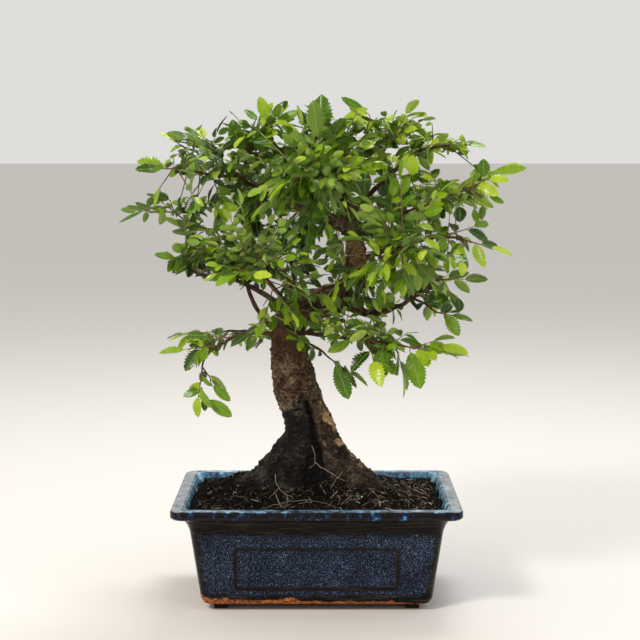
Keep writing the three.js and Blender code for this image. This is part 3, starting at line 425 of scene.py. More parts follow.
def leaf_blade():
    """Living leaf: waxy above, paler and duller below, with light veins; light comes through it."""
    new, tree = material("living_leaf")
    uv = add(tree, "UVMap", uv_map="blade")
    axis = add(tree, "SeparateXYZ", {0: uv}, out=None)
    # Painted light and shade: this tone makes leaves inside the crown darker and those to the right lighter,
    # besides each leaf's own colour and age.
    age = add(tree, "Attribute", out=2, attribute_name="age")
    under = add(tree, "Attribute", out=2, attribute_name="under")
    aside = add(tree, "Math", {0: axis.outputs[0], 1: 0.5}, operation="SUBTRACT")
    aside = add(tree, "Math", {0: aside}, operation="ABSOLUTE")
    place = millimetres(tree)
    mottle = add(tree, "TexNoise", {"Vector": place, "Scale": 0.25, "Detail": 3.0})
    mottle = add(tree, "Math", {0: mottle, 1: 0.5}, operation="SUBTRACT")
    tone = add(tree, "Math", {0: mottle, 1: 0.3, 2: age}, operation="MULTIPLY_ADD")
    top = add(tree, "ValToRGB", {0: tone}, stops=[
        (0.0, "#142606"), (0.3, "#315606"), (0.55, "#5d8809"), (0.78, "#90b211"), (1.0, "#bdcf33")])
    back = add(tree, "ValToRGB", {0: tone}, stops=[
        (0.0, "#4a6528"), (0.4, "#6c8a38"), (0.75, "#93b047"), (1.0, "#bccd5c")])
    # Side veins run forward from the rib to the teeth.
    slant = add(tree, "Math", {0: aside, 1: -0.55, 2: axis.outputs[1]}, operation="MULTIPLY_ADD")
    slant = add(tree, "Math", {0: slant, 1: 7.0}, operation="MULTIPLY")
    slant = add(tree, "Math", {0: slant, 1: 0.5}, operation="PINGPONG")
    side_vein = add(tree, "MapRange", {"Value": slant, "From Min": 0.1, "From Max": 0.02, "To Max": 0.5})
    rib = add(tree, "MapRange", {"Value": aside, "From Min": 0.045, "From Max": 0.012, "To Max": 0.85})
    veins = add(tree, "Math", {0: rib, 1: side_vein}, operation="MAXIMUM")
    colour = add(tree, "Mix", {0: under, 6: top, 7: back}, out=2, data_type="RGBA")
    veined = add(tree, "Mix", {0: veins, 6: colour, 7: "#a9c566"}, out=2, data_type="RGBA")
    colour = add(tree, "Mix", {0: 0.55, 6: colour, 7: veined}, out=2, data_type="RGBA")
    rough = add(tree, "Mix", {0: under, 2: 0.24, 3: 0.62}, data_type="FLOAT")
    skin = add(tree, "Bump", {"Height": veins, "Strength": 0.6, "Distance": 0.0005}, invert=True)
    shader = add(tree, "BsdfPrincipled", {
        "Base Color": colour, "Roughness": rough, "Normal": skin, "IOR": 1.5, "Specular IOR Level": 0.4})
    bright = add(tree, "HueSaturation", {"Color": colour, "Saturation": 1.1, "Value": 1.5})
    through = add(tree, "BsdfTranslucent", {"Color": bright})
    shader = add(tree, "MixShader", {0: 0.24, 1: shader, 2: through})
    add(tree, "OutputMaterial", {0: shader}, out=None)
    return new


def soft_stem():
    """Stem of this year's growth: satin, brown at its root and green towards the tip."""
    new, tree = material("soft_green_stem")
    tone = add(tree, "Attribute", out=2, attribute_name="age")
    place = millimetres(tree)
    grain = add(tree, "TexNoise", {"Vector": place, "Scale": 0.9, "Detail": 3.0})
    grain = add(tree, "Math", {0: grain, 1: 0.5}, operation="SUBTRACT")
    tone = add(tree, "Math", {0: grain, 1: 0.5, 2: tone}, operation="MULTIPLY_ADD")
    colour = add(tree, "ValToRGB", {0: tone}, stops=[
        (0.0, "#3a281b"), (0.35, "#6a4b30"), (0.65, "#74703a"), (1.0, "#93a84c")])
    shader = add(tree, "BsdfPrincipled", {"Base Color": colour, "Roughness": 0.55, "IOR": 1.45})
    add(tree, "OutputMaterial", {0: shader}, out=None)
    return new


def peat():
    """Moist peat with coir: dark and matt, each fibre and crumb with a tone of its own."""
    new, tree = material("moist_peat_and_coir")
    place = millimetres(tree)
    tone = add(tree, "Attribute", out=2, attribute_name="age")
    grain = add(tree, "TexNoise", {"Vector": place, "Scale": 0.8, "Detail": 4.0, "Roughness": 0.7})
    grain = add(tree, "Math", {0: grain, 1: 0.5}, operation="SUBTRACT")
    tone = add(tree, "Math", {0: grain, 1: 0.5, 2: tone}, operation="MULTIPLY_ADD")
    colour = add(tree, "ValToRGB", {0: tone}, stops=[
        (0.0, "#030302"), (0.25, "#0b0806"), (0.45, "#211913"), (0.68, "#62533f"), (0.86, "#a0947f"),
        (1.0, "#e2dac8")])
    skin = add(tree, "Bump", {"Height": grain, "Strength": 0.9, "Distance": 0.0009})
    shader = add(tree, "BsdfPrincipled", {
        "Base Color": colour, "Roughness": 0.93, "Normal": skin, "IOR": 1.4,
        "Specular IOR Level": 0.15})
    add(tree, "OutputMaterial", {0: shader}, out=None)
    return new


def black_mesh():
    """Extruded polyethylene mesh: dull black with a slight waxy sheen."""
    new, tree = material("black_polyethylene_mesh")
    grain = add(tree, "TexNoise", {"Vector": millimetres(tree), "Scale": 1.2, "Detail": 2.0})
    rough = add(tree, "MapRange", {"Value": grain, "To Min": 0.45, "To Max": 0.7})
    shader = add(tree, "BsdfPrincipled", {"Base Color": "#1b1b1a", "Roughness": rough, "IOR": 1.51})
    add(tree, "OutputMaterial", {0: shader}, out=None)
    return new


def studio_board():
    """Pale matt board under the pot."""
    new, tree = material("pale_matt_board")
    shader = add(tree, "BsdfPrincipled", {"Base Color": "#dcd9d5", "Roughness": 0.85})
    add(tree, "OutputMaterial", {0: shader}, out=None)
    return new


GLAZE, BARK, LEAF, STEM, PEAT = blue_glaze(), bark(), leaf_blade(), soft_stem(), peat()


# Shared geometry.
def unit(vector):
    return vector / np.linalg.norm(vector)


def turned(vector, axis, angle):
    """The vector turned about a unit axis."""
    return (vector * math.cos(angle) + np.cross(axis, vector) * math.sin(angle)
            + axis * np.dot(axis, vector) * (1 - math.cos(angle)))


def on_route(points, t):
    """The point at t from 0 to 1 on a smooth curve through the points."""
    points = np.asarray(points, float)
    last = len(points) - 1
    span = min(int(t * last), last - 1)
    w = t * last - span
    before = points[span - 1] if span > 0 else 2 * points[0] - points[1]
    after = points[span + 2] if span + 2 <= last else 2 * points[-1] - points[-2]
    a, b = points[span], points[span + 1]
    pull_a, pull_b = (b - before) / 2, (after - a) / 2
    return (a + pull_a * w + (3 * (b - a) - 2 * pull_a - pull_b) * w * w
            + (2 * (a - b) + pull_a + pull_b) * w ** 3)


def route_heading(points, t):
    return unit(on_route(points, min(t + 1e-4, 1)) - on_route(points, max(t - 1e-4, 0)))


def tube(path, radii, sides):
    """A closed tube along a path, each end drawn in to a point."""
    path = np.asarray(path, float)
    radii = np.broadcast_to(np.asarray(radii, float), len(path))
    along = np.gradient(path, axis=0)
    along /= np.linalg.norm(along, axis=1)[:, None]
    across = np.cross(along[0], UP if abs(along[0][2]) < 0.9 else BACK)
    angles = np.arange(sides) * 2 * math.pi / sides
    rings = []
    for centre, heading, radius in zip(path, along, radii):
        across = unit(across - heading * np.dot(across, heading))
        over = np.cross(heading, across)
        rings.append(centre + radius * (np.outer(np.cos(angles), across) + np.outer(np.sin(angles), over)))
    start = path[0] - along[0] * radii[0] * 0.4
    end = path[-1] + along[-1] * radii[-1] * 0.6
    points = np.vstack([*rings, start, end])
    faces = []
    for ring in range(len(path) - 1):
        for i in range(sides):
            j = (i + 1) % sides
            low, high = ring * sides, (ring + 1) * sides
            faces.append((low + i, low + j, high + j, high + i))
    first, last, top = len(points) - 2, len(points) - 1, (len(path) - 1) * sides
    for i in range(sides):
        j = (i + 1) % sides
        faces.append((first, j, i))
        faces.append((last, top + i, top + j))
    return points, faces


class Pile:
    """Gathers many small closed shapes, in millimetres, into one mesh."""

    def __init__(self):
        self.points, self.faces, self.slots, self.uvs, self.stems = [], [], [], [], []
        self.values = {"age": [], "under": []}
        self.count = 0

    def add(self, points, faces, age, slot=0, uvs=None, under=None):
        self.points.append(points)
        self.faces.extend(tuple(i + self.count for i in face) for face in faces)
        self.slots.extend([slot] * len(faces))
        corners = sum(len(face) for face in faces)
        self.uvs.append(uvs if uvs is not None else np.full((corners, 2), 0.5))
        self.values["age"].append(np.broadcast_to(np.asarray(age, float), len(points)))
        self.values["under"].append(under if under is not None else np.zeros(len(faces)))
        self.count += len(points)

    def finish(self, name, materials, smooth_angle=60):
        mesh = bpy.data.meshes.new(name)
        mesh.from_pydata((np.vstack(self.points) * MM).tolist(), [], self.faces)
        mesh.polygons.foreach_set("material_index", self.slots)
        layer = mesh.uv_layers.new(name="blade")
        layer.data.foreach_set("uv", np.vstack(self.uvs).astype(np.float32).ravel())
        mesh.attributes.new("age", "FLOAT", "POINT").data.foreach_set(
            "value", np.concatenate(self.values["age"]).astype(np.float32))
        mesh.attributes.new("under", "FLOAT", "FACE").data.foreach_set(
            "value", np.concatenate(self.values["under"]).astype(np.float32))
        for each in materials:
            mesh.materials.append(each)
        piece = bpy.data.objects.new(name, mesh)
        bpy.context.collection.objects.link(piece)
        only(piece)
        bpy.ops.object.shade_smooth_by_angle(angle=math.radians(smooth_angle))
        return piece


def only(*pieces):
    """Selects these pieces and nothing else; the first is the active one."""
    bpy.ops.object.select_all(action="DESELECT")
    for piece in pieces:
        piece.select_set(True)
    bpy.context.view_layer.objects.active = pieces[0]


def apply(piece, kind, **settings):
    only(piece)
    modifier = piece.modifiers.new(kind.lower(), kind)
    for name, value in settings.items():
        setattr(modifier, name, value)
    bpy.ops.object.modifier_apply(modifier=modifier.name)


def settle(piece):
    """Moves the object's place into its mesh."""
    only(piece)
    bpy.ops.object.transform_apply(location=True, rotation=True, scale=True)


def place_piece(piece, slot, *nodes):
    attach(piece, "root")
    if nodes:
        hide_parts(*nodes)


def places_of(piece):
    """The piece's points in millimetres."""
    place = np.empty(len(piece.data.vertices) * 3, np.float32)
    piece.data.vertices.foreach_get("co", place)
    return place.reshape(-1, 3).astype(float) / MM


def move_points(piece, place):
    piece.data.vertices.foreach_set("co", (place * MM).astype(np.float32).ravel())


def note_values(piece, **values):
    """Keeps a value for each point under each name, for the materials to read."""
    for name, value in values.items():
        layer = piece.data.attributes.new(name, "FLOAT", "POINT")
        layer.data.foreach_set("value", np.asarray(value, np.float32))


def nearest_of(points):
    """A search tree that finds the nearest of the points."""
    tree = kdtree.KDTree(len(points))
    for index, point in enumerate(points):
        tree.insert(point, index)
    tree.balance()
    return tree


# Pot.
def select_faces(test):
    """Selects the faces of the piece in edit mode that pass the test, and nothing else."""
    mesh = bmesh.from_edit_mesh(bpy.context.edit_object.data)
    bpy.ops.mesh.select_all(action="DESELECT")
    for face in mesh.faces:
        face.select = test(face)
    mesh.select_flush_mode()
    bmesh.update_edit_mesh(bpy.context.edit_object.data)


def select_edges(test):
    mesh = bmesh.from_edit_mesh(bpy.context.edit_object.data)
    bpy.ops.mesh.select_all(action="DESELECT")
    for edge in mesh.edges:
        edge.select = test(edge)
    mesh.select_flush_mode()
    bmesh.update_edit_mesh(bpy.context.edit_object.data)


def new_cube(size, location):
    bpy.ops.object.select_all(action="DESELECT")
    bpy.ops.mesh.primitive_cube_add(size=1, location=Vector(location) * MM, scale=Vector(size) * MM)
    cube = bpy.context.object
    bpy.ops.object.transform_apply(location=False, rotation=False, scale=True)
    return cube


def cut(piece, cutter, operation="DIFFERENCE"):
    apply(piece, "BOOLEAN", operation=operation, object=cutter, solver="EXACT")
    only(cutter)
    bpy.ops.object.delete()


def draw_out(rows):
    """Draws the selected outline through the rows that follow the first one."""
    for (width, z), (next_width, next_z) in zip(rows, rows[1:]):
        bpy.ops.mesh.extrude_region_move(TRANSFORM_OT_translate={"value": (0, 0, (next_z - z) * MM)})
        growth = (next_width / width, (next_width - POT_INSET) / (width - POT_INSET), 1)
        bpy.ops.transform.resize(value=growth, center_override=(0, 0, next_z * MM))


def pot_shell():
    """The tub: a rounded plan drawn up the outside, over the lip and down to the floor inside."""
    bpy.ops.object.select_all(action="DESELECT")
    width, z = POT_ROWS[0]
    bpy.ops.mesh.primitive_plane_add(size=2, location=(0, 0, z * MM))
    shell = bpy.context.object
    bpy.ops.object.mode_set(mode="EDIT")
    bpy.ops.mesh.select_all(action="SELECT")
    bpy.ops.transform.resize(value=(width * MM, (width - POT_INSET) * MM, 1))
    bpy.ops.mesh.bevel(offset=POT_CORNER * MM, segments=7, affect="VERTICES")
    draw_out(POT_ROWS)
    bpy.ops.mesh.select_all(action="SELECT")
    bpy.ops.mesh.normals_make_consistent(inside=False)
    bpy.ops.object.mode_set(mode="OBJECT")
    settle(shell)
    return shell


def panel_cutter(turn, length):
    """A slab that leans with the wall and sinks one panel, with rounded corners."""
    middle = (PANEL_TOP + PANEL_BOTTOM) / 2
    lean = math.atan(WALL_SLOPE)
    out = WALL_FOOT + (middle - WALL_FOOT_Z) * WALL_SLOPE - (0 if abs(math.sin(turn)) > 0.5 else POT_INSET)
    depth = 12.0
    reach = out - PANEL_SINK / math.cos(lean) + depth / 2 * math.cos(lean)
    heading = Vector((math.sin(turn), -math.cos(turn), 0))
    centre = heading * reach + Vector((0, 0, middle - depth / 2 * math.sin(lean)))
    slab = new_cube((length, depth, (PANEL_TOP - PANEL_BOTTOM) / math.cos(lean)), centre)
    bpy.ops.object.mode_set(mode="EDIT")
    select_edges(lambda edge: abs((edge.verts[0].co - edge.verts[1].co).normalized().y) > 0.9)
    bpy.ops.mesh.bevel(offset=PANEL_CORNER * MM, segments=5, affect="EDGES")
    select_edges(lambda edge: all(vert.co.y > depth / 2 * MM * 0.98 for vert in edge.verts))
    bpy.ops.mesh.bevel(offset=0.8 * MM, segments=2, affect="EDGES")
    bpy.ops.object.mode_set(mode="OBJECT")
    slab.rotation_euler = (lean, 0, turn)
    settle(slab)
    return slab


def foot(side, front):
    """A low L-shaped foot under one corner."""
    half = FOOT_BREADTH / 2
    corner = (side * (FOOT_HALF_WIDTH - half), front * (FOOT_HALF_DEPTH - half), FOOT_HEIGHT / 2)
    cube = new_cube((FOOT_BREADTH, FOOT_BREADTH, FOOT_HEIGHT), corner)
    bpy.ops.object.mode_set(mode="EDIT")
    select_faces(lambda face: face.normal.x * side < -0.9)
    bpy.ops.mesh.extrude_region_move(
        TRANSFORM_OT_translate={"value": (-side * (FOOT_LONG - FOOT_BREADTH) * MM, 0, 0)})
    reach = (half + 0.01) * MM
    select_faces(lambda face: face.normal.y * front < -0.9 and abs(face.calc_center_median().x) < reach)
    bpy.ops.mesh.extrude_region_move(
        TRANSFORM_OT_translate={"value": (0, -front * (FOOT_SHORT - FOOT_BREADTH) * MM, 0)})
    bpy.ops.mesh.select_all(action="SELECT")
    bpy.ops.mesh.remove_doubles(threshold=0.00001)
    bpy.ops.mesh.normals_make_consistent(inside=False)
    bpy.ops.object.mode_set(mode="OBJECT")
    settle(cube)
    return cube


def glazed_pot():
    pot = pot_shell()
    for turn, length in ((0, PANEL_FRONT), (math.pi, PANEL_FRONT),
                         (math.pi / 2, PANEL_END), (-math.pi / 2, PANEL_END)):
        cut(pot, panel_cutter(turn, length))
    for side in (-1, 1):
        for front in (-1, 1):
            cut(pot, foot(side, front), "UNION")
        bpy.ops.object.select_all(action="DESELECT")
        bpy.ops.mesh.primitive_cylinder_add(
            vertices=32, radius=DRAIN_RADIUS * MM, depth=0.02, location=(side * DRAIN_X * MM, 0, 0.008))
        hole = bpy.context.object
        settle(hole)
        cut(pot, hole)
    pot.name = pot.data.name = "glazed_pot"
    apply(pot, "BEVEL", width=0.6 * MM, segments=3, limit_method="ANGLE", angle_limit=math.radians(38),
          use_clamp_overlap=True)
    only(pot)
    bpy.ops.object.shade_smooth_by_angle(angle=math.radians(42))
    apply(pot, "WEIGHTED_NORMAL", keep_sharp=True)
    pot.data.materials.clear()
    pot.data.materials.append(GLAZE)
    place_piece(pot, "glazed_pot", "pot")


# Wood.
def fractal(points, scale, detail=3):
    """Fractal noise at each point, each axis scaled in turns per millimetre."""
    return np.array([noise.fractal(point, 1.0, 2.0, detail) for point in points * np.asarray(scale)])


def step_between(values, low, high):
    """0 up to low, 1 past high, smooth between; low may be the larger one."""
    t = np.clip((values - low) / (high - low), 0, 1)
    return t * t * (3 - 2 * t)


def trunk_radius(angle, core, z):
    spread = 0
    for turn, reach, sharpness, head, flare in ROOTS:
        spill = min(max((head - z) / (head - ROOT_FOOT), 0), 1) ** flare
        facing = np.maximum(0, np.cos(angle - math.radians(turn)))
        spread = spread + reach * spill * facing ** sharpness
    return core * (1 + 0.045 * np.cos(3 * angle + 1) + 0.03 * np.cos(5 * angle - 0.6)) + spread


def trunk_shell(rows=150, sides=150):
    angles = np.arange(sides) * 2 * math.pi / sides
    rings = []
    for t in np.linspace(0, 1, rows):
        x, y, z, core = on_route(TRUNK_SECTIONS, t)
        along = unit((on_route(TRUNK_SECTIONS, min(t + 1e-4, 1))
                      - on_route(TRUNK_SECTIONS, max(t - 1e-4, 0)))[:3])
        across = unit(np.cross(BACK, along))
        deep = np.cross(along, across)
        radius = trunk_radius(angles, core, z)[:, None]
        rings.append(np.array((x, y, z)) + radius * (
            np.outer(np.cos(angles), across) + np.outer(np.sin(angles), deep)))
    faces = [(row * sides + i, row * sides + (i + 1) % sides,
              (row + 1) * sides + (i + 1) % sides, (row + 1) * sides + i)
             for row in range(rows - 1) for i in range(sides)]
    faces.append(tuple(reversed(range(sides))))
    faces.append(tuple((rows - 1) * sides + i for i in range(sides)))
    return np.vstack(rings), faces


def limb_path(limb, spacing=2.0):
    """Points and radii along a limb, with the slight kinks that each year's growth leaves."""
    _, (thick, thin), points, _ = limb
    points = np.asarray(points, float)
    length = np.linalg.norm(np.diff(points, axis=0), axis=1).sum()
    steps = max(6, int(length / spacing))
    places = np.linspace(0, 1, steps + 1)
    path = np.array([on_route(points, t) for t in places])
    radii = thick + (thin - thick) * places
    drift = np.array([noise.noise_vector(point) for point in path * 0.11])
    calm = np.sin(np.pi * places)[:, None]
    path = path + drift * calm * 0.9
    knobs = np.array([noise.noise(point) for point in path * 0.33])
    slim = 0.66 + 0.34 * step_between(radii, 2.6, 5.0)
    return path, radii * slim * (1 + 0.22 * knobs)


def bark_relief(points, normals, radius):
    """How far the bark stands out at each point: lumps, cross ridges, root strands and the cleft."""
    x, y, z = points.T
    size = np.clip(radius / 12, 0.06, 1)
    lumps = fractal(points, 0.085, 3)
    cross = fractal(points, (0.14, 0.14, 0.5), 3)
    fine = fractal(points, 0.36, 3)
    angle = np.arctan2(y, x + 5)
    flare = step_between(z, 126.5, 88.5)
    strands = np.abs(np.sin(7.5 * angle + 1.6 * fractal(points, 0.03, 2))) ** 0.6
    pits = np.array([noise.voronoi(point)[0][0] for point in points * np.array((0.26, 0.26, 0.34))])
    pits = 1 - step_between(pits, 0.08, 0.42)
    relief = size * (1.1 * lumps + 0.8 * cross + 1.0 * fine - 0.9 * pits) + flare * (1.4 * strands - 1.05)
    cleft = cleft_at(points, normals, 1.9)
    crack = crack_at(points, normals)
    return relief - 3.0 * cleft - 0.8 * crack


def cleft_x(z):
    """Where the crease between the two legs lies at each height: it runs straight down to the right."""
    (high_x, high_z), (low_x, low_z) = CLEFT_HIGH, CLEFT_LOW
    return high_x + (high_z - z) / (high_z - low_z) * (low_x - high_x)


def cleft_at(points, normals, width):
    """The deep crease down the front where two old roots grew together."""
    x, y, z = points.T
    line = cleft_x(z) + 0.9 * np.sin(z * 0.31)
    front = step_between(normals[:, 1], 0.1, -0.3) * (y < 2)
    span = step_between(z, 147.5, 138.5) * step_between(z, 78.5, 88.5)
    return np.exp(-((x - line) / (width + 0.05 * np.clip(124.5 - z, 0, 40))) ** 2) * front * span


def crack_at(points, normals):
    """The edge of an old bark plate across the left side."""
    x, _, z = points.T
    line = 135 + 1.4 * np.sin(x * 0.35) + 0.05 * x
    front = step_between(normals[:, 1], 0.2, -0.2)
    return np.exp(-((z - line) / 0.8) ** 2) * front * (x < -5) * (z > 124.5) * (z < 144.5)


def bark_shades(place, facing, radius):
    """How damp, bare, young and mossy the bark is at each point, and how much painted shade lies in its
    creases and between the legs, from 0 to 1.
    """
    x, y, z = place.T
    blur = fractal(place, 0.12, 3)
    line = cleft_x(z)
    # The left leg is wet below a ragged edge, the right one only partly, and both are wetter at the soil.
    left = step_between(x - line, 4.5, 0.5)
    ragged = z + 5 * blur - 13 * np.exp(-((x - line + 4) / 5) ** 2)
    damp_and_hollow_shade = step_between(ragged, 136.5, 131.5) * left
    damp_and_hollow_shade = np.maximum(damp_and_hollow_shade, 0.7 * step_between(z + 16 * blur + 0.25 * (x - line), 142, 124))
    damp_and_hollow_shade = np.maximum(damp_and_hollow_shade, step_between(z + 5 * blur, 96.5, 84.5) * 0.85)
    # Painted shade: the hollow between the legs is darkened like damp bark.
    hollow_shade = np.exp(-((x + 5) / 12) ** 2 - ((z - 92) / 9) ** 2) * (y < 0)
    damp_and_hollow_shade = np.maximum(damp_and_hollow_shade, hollow_shade)
    # The shade deep between the two legs widens downwards, more to the left.
    fall = np.clip(136 - z, 0, 60)
    deep = step_between(np.abs(x - line + 0.1 * fall + 1.2 * blur), 1.6 + 0.16 * fall, 0.4)
    deep = deep * step_between(z, 141, 132) * (y < 0)
    # Painted shade in the creases: cleft, crack, the hollow and the deep gap between the legs, nearly black.
    crease_shade = 1.25 * cleft_at(place, facing, 1.1) + crack_at(place, facing) + 0.85 * hollow_shade + 0.8 * deep
    front = step_between(facing[:, 1], 0.1, -0.2)
    scar, moss = np.zeros(len(x)), np.zeros(len(x))
    for spot_x, spot_z, wide, high, strength in BARE_SPOTS:
        # A bare spot leans up to the left, as the right leg does.
        spot = ((x - spot_x + 0.55 * (z - spot_z)) / wide) ** 2 + ((z - spot_z) / high) ** 2
        scar = np.maximum(scar, strength * front * step_between(spot + 1.6 * blur, 1.2, 0.5))
    for spot_x, spot_z, wide, high, strength in MOSS_SPOTS:
        spot = ((x - spot_x) / wide) ** 2 + ((z - spot_z) / high) ** 2
        moss = np.maximum(moss, strength * front * step_between(spot + 2.5 * blur, 1.4, 0.2))
    return {"damp_and_hollow_shade": damp_and_hollow_shade, "scar": scar, "crease_shade": np.clip(crease_shade, 0, 0.96),
            "young": step_between(radius, 4.0, 1.6), "moss": moss}


def trunk_and_limbs():
    """Trunk, roots and limbs in one skin, with every limb's thin end run out as a fine tube.

    Gives back the points of the wood, which leaves keep clear of."""
    core, radii = [], []
    for t in np.linspace(0, 1, 90):
        x, y, z, r = on_route(TRUNK_SECTIONS, t)
        core.append((x, y, z))
        radii.append(r)
    shell, faces = trunk_shell()
    points, count = [shell], len(shell)
    thin_ends = Pile()
    for limb in LIMBS:
        path, thickness = limb_path(limb)
        core.extend(map(tuple, path))
        radii.extend(thickness)
        thick = max(3, int((thickness > 1.5).sum()))
        if thickness[0] > 1.5:
            stub, stub_faces = tube(path[:thick], thickness[:thick], 12)
            points.append(stub)
            faces.extend(tuple(i + count for i in face) for face in stub_faces)
            count += len(stub)
        start = max(0, thick - 3) if thickness[0] > 1.5 else 0
        ends, end_faces = tube(path[start:], thickness[start:], 7)
        thin_ends.add(ends, end_faces, 1.0)
    skin = np.vstack(points + thin_ends.points)
    mesh = bpy.data.meshes.new("trunk_and_limbs_bark")
    mesh.from_pydata((np.vstack(points) * MM).tolist(), [], faces)
    wood = bpy.data.objects.new("trunk_and_limbs_bark", mesh)
    bpy.context.collection.objects.link(wood)
    apply(wood, "REMESH", mode="VOXEL", voxel_size=0.82 * MM)
    apply(wood, "SMOOTH", factor=0.5, iterations=3)
    place = places_of(wood)
    facing = np.empty(place.size, np.float32)
    wood.data.vertex_normals.foreach_get("vector", facing)
    facing = facing.reshape(-1, 3).astype(float)
    near = nearest_of(core)
    local = np.array([radii[near.find(point)[1]] for point in place])
    move_points(wood, place + facing * bark_relief(place, facing, local)[:, None])
    note_values(wood, **bark_shades(place, facing, local))
    wood.data.materials.append(BARK)
    ends = thin_ends.finish("limb_ends", [BARK])
    note_values(ends, young=np.ones(len(ends.data.vertices)))
    only(wood, ends)
    bpy.ops.object.join()
    bpy.ops.object.shade_smooth()
    place_piece(wood, "bark", "trunk_and_limbs")
    return skin


# Soil.
def soil_height(x, y):
    mound = SOIL_MOUND * np.exp(-(x / MOUND_WIDTH) ** 4 - (y / MOUND_DEPTH) ** 4)
    for heap_x, heap_y, height, spread in SOIL_HEAPS:
        mound = mound + height * np.exp(-((x - heap_x) ** 2 + (y - heap_y) ** 2) / spread ** 2)
    return (SOIL_EDGE + mound + 0.5 * np.sin(0.19 * x + 1) * np.cos(0.23 * y)
            + 0.35 * np.sin(0.43 * x - 0.37 * y))


def loose_height(x, y):
    """The soil's height with its small clods."""
    flat = np.stack([np.atleast_1d(x), np.atleast_1d(y), np.zeros(np.size(x))], axis=1)
    calm = 1
    for distance, edge in ((flat[:, 0], SOIL_HALF_WIDTH), (flat[:, 1], SOIL_HALF_WIDTH - POT_INSET)):
        calm = calm * step_between(np.abs(distance), edge, edge - 6)
    clods = 1.1 * fractal(flat, 0.12, 3) + 1.0 * fractal(flat + 40, 0.42, 2)
    return soil_height(flat[:, 0], flat[:, 1]) + (0.35 + 0.65 * calm) * clods


def soil_bed():
    """The bed of soil: a fine grid for the top, drawn down inside the pot and closed below."""
    width, z = SOIL_ROWS[0]
    bpy.ops.object.select_all(action="DESELECT")
    bpy.ops.mesh.primitive_grid_add(x_subdivisions=200, y_subdivisions=136, size=2, location=(0, 0, 0))
    bed = bpy.context.object
    bed.name = bed.data.name = "soil_bed"
    bpy.ops.object.mode_set(mode="EDIT")
    bpy.ops.mesh.select_all(action="SELECT")
    bpy.ops.transform.resize(value=(width * MM, (width - POT_INSET) * MM, 1))
    bpy.ops.transform.translate(value=(0, 0, z * MM))
    select_edges(lambda edge: edge.is_boundary)
    draw_out(SOIL_ROWS)
    bpy.ops.mesh.edge_face_add()
    bpy.ops.mesh.select_all(action="SELECT")
    bpy.ops.mesh.normals_make_consistent(inside=False)
    bpy.ops.object.mode_set(mode="OBJECT")
    settle(bed)
    place = places_of(bed)
    # The four corners are drawn in to the pot's rounded plan.
    top, middle = place[:, 2] > 60, place[:, 2] > 40
    half_width = np.where(top, SOIL_ROWS[0][0], np.where(middle, SOIL_ROWS[1][0], SOIL_ROWS[2][0]))
    wide = half_width - SOIL_CORNER
    deep = half_width - POT_INSET - SOIL_CORNER
    past_x, past_y = np.abs(place[:, 0]) - wide, np.abs(place[:, 1]) - deep
    both = (past_x > 0) & (past_y > 0)
    reach = np.maximum(past_x, past_y)[both]
    length = np.hypot(past_x, past_y)[both]
    place[both, 0] = np.sign(place[both, 0]) * (wide[both] + past_x[both] * reach / length)
    place[both, 1] = np.sign(place[both, 1]) * (deep[both] + past_y[both] * reach / length)
    place[top, 2] = loose_height(place[top, 0], place[top, 1])
    move_points(bed, place)
    note_values(bed, age=0.16 + 0.14 * fractal(place, 0.06, 3) + 0.1 * fractal(place, 0.5, 2))
    bed.data.materials.append(PEAT)
    only(bed)
    bpy.ops.object.shade_smooth()
    place_piece(bed, "soil", "soil")


def in_pot(x, y, margin):
    wide, deep = SOIL_HALF_WIDTH - margin, SOIL_HALF_WIDTH - POT_INSET - margin
    return (abs(x) < wide) & (abs(y) < deep)


def soil_fibres():
    """Coir and root fibres, crumbs and a few white grains that lie on the soil."""
    draw = np.random.default_rng(77)
    pile = Pile()
    wanted = FIBRES
    for _ in range(wanted * 3):
        if wanted == 0:
            break
        x, y = draw.uniform(-SCATTER_X, SCATTER_X), draw.uniform(-SCATTER_Y, SCATTER_Y)
        length = draw.gamma(3.0, 2.1) + 1.5
        heading = draw.uniform(0, 2 * math.pi)
        bend = draw.normal(0, 0.7)
        steps = 5 if length > 8 else 4
        t = np.linspace(0, 1, steps)
        turn = heading + bend * t
        path_x = x + np.cumsum(np.cos(turn)) * length / steps
        path_y = y + np.cumsum(np.sin(turn)) * length / steps
        if not in_pot(path_x, path_y, 1.0).all():
            continue
        wanted -= 1
        path_z = loose_height(path_x, path_y)
        stand = abs(draw.normal(0.15, 0.4))
        lift = draw.uniform(-0.4, 0.25) + stand * np.sin(np.pi * t + draw.uniform(-0.8, 0.8))
        path = np.stack([path_x, path_y, path_z + lift], axis=1)
        radius = draw.uniform(0.1, 0.2) * (1.4 if draw.random() < 0.1 else 1.0)
        tone = np.clip(draw.normal(0.44 + 0.0014 * x, 0.24), 0.06, 0.94)
        points, faces = tube(path, radius, 3)
        pile.add(points, faces, tone)
    for _ in range(CRUMBS):
        x, y = draw.uniform(-SCATTER_X, SCATTER_X), draw.uniform(-SCATTER_Y, SCATTER_Y)
        size = draw.uniform(0.35, 1.1)
        white = draw.random() < 0.02
        z = loose_height(x, y)[0] + size * 0.3
        shape = draw.normal(0, 0.22, (6, 3))
        corners = np.array([(1, 0, 0), (-1, 0, 0), (0, 1, 0), (0, -1, 0), (0, 0, 1), (0, 0, -1)])
        points = (corners + shape) * size * (0.7 if white else 1) + (x, y, z)
        faces = [(0, 2, 4), (2, 1, 4), (1, 3, 4), (3, 0, 4), (2, 0, 5), (1, 2, 5), (3, 1, 5), (0, 3, 5)]
        pile.add(points, faces, 1.0 if white else np.clip(draw.normal(0.22, 0.12), 0.02, 0.55))
    fibres = pile.finish("soil_fibres_and_crumbs", [PEAT], 30)
    place_piece(fibres, "soil")


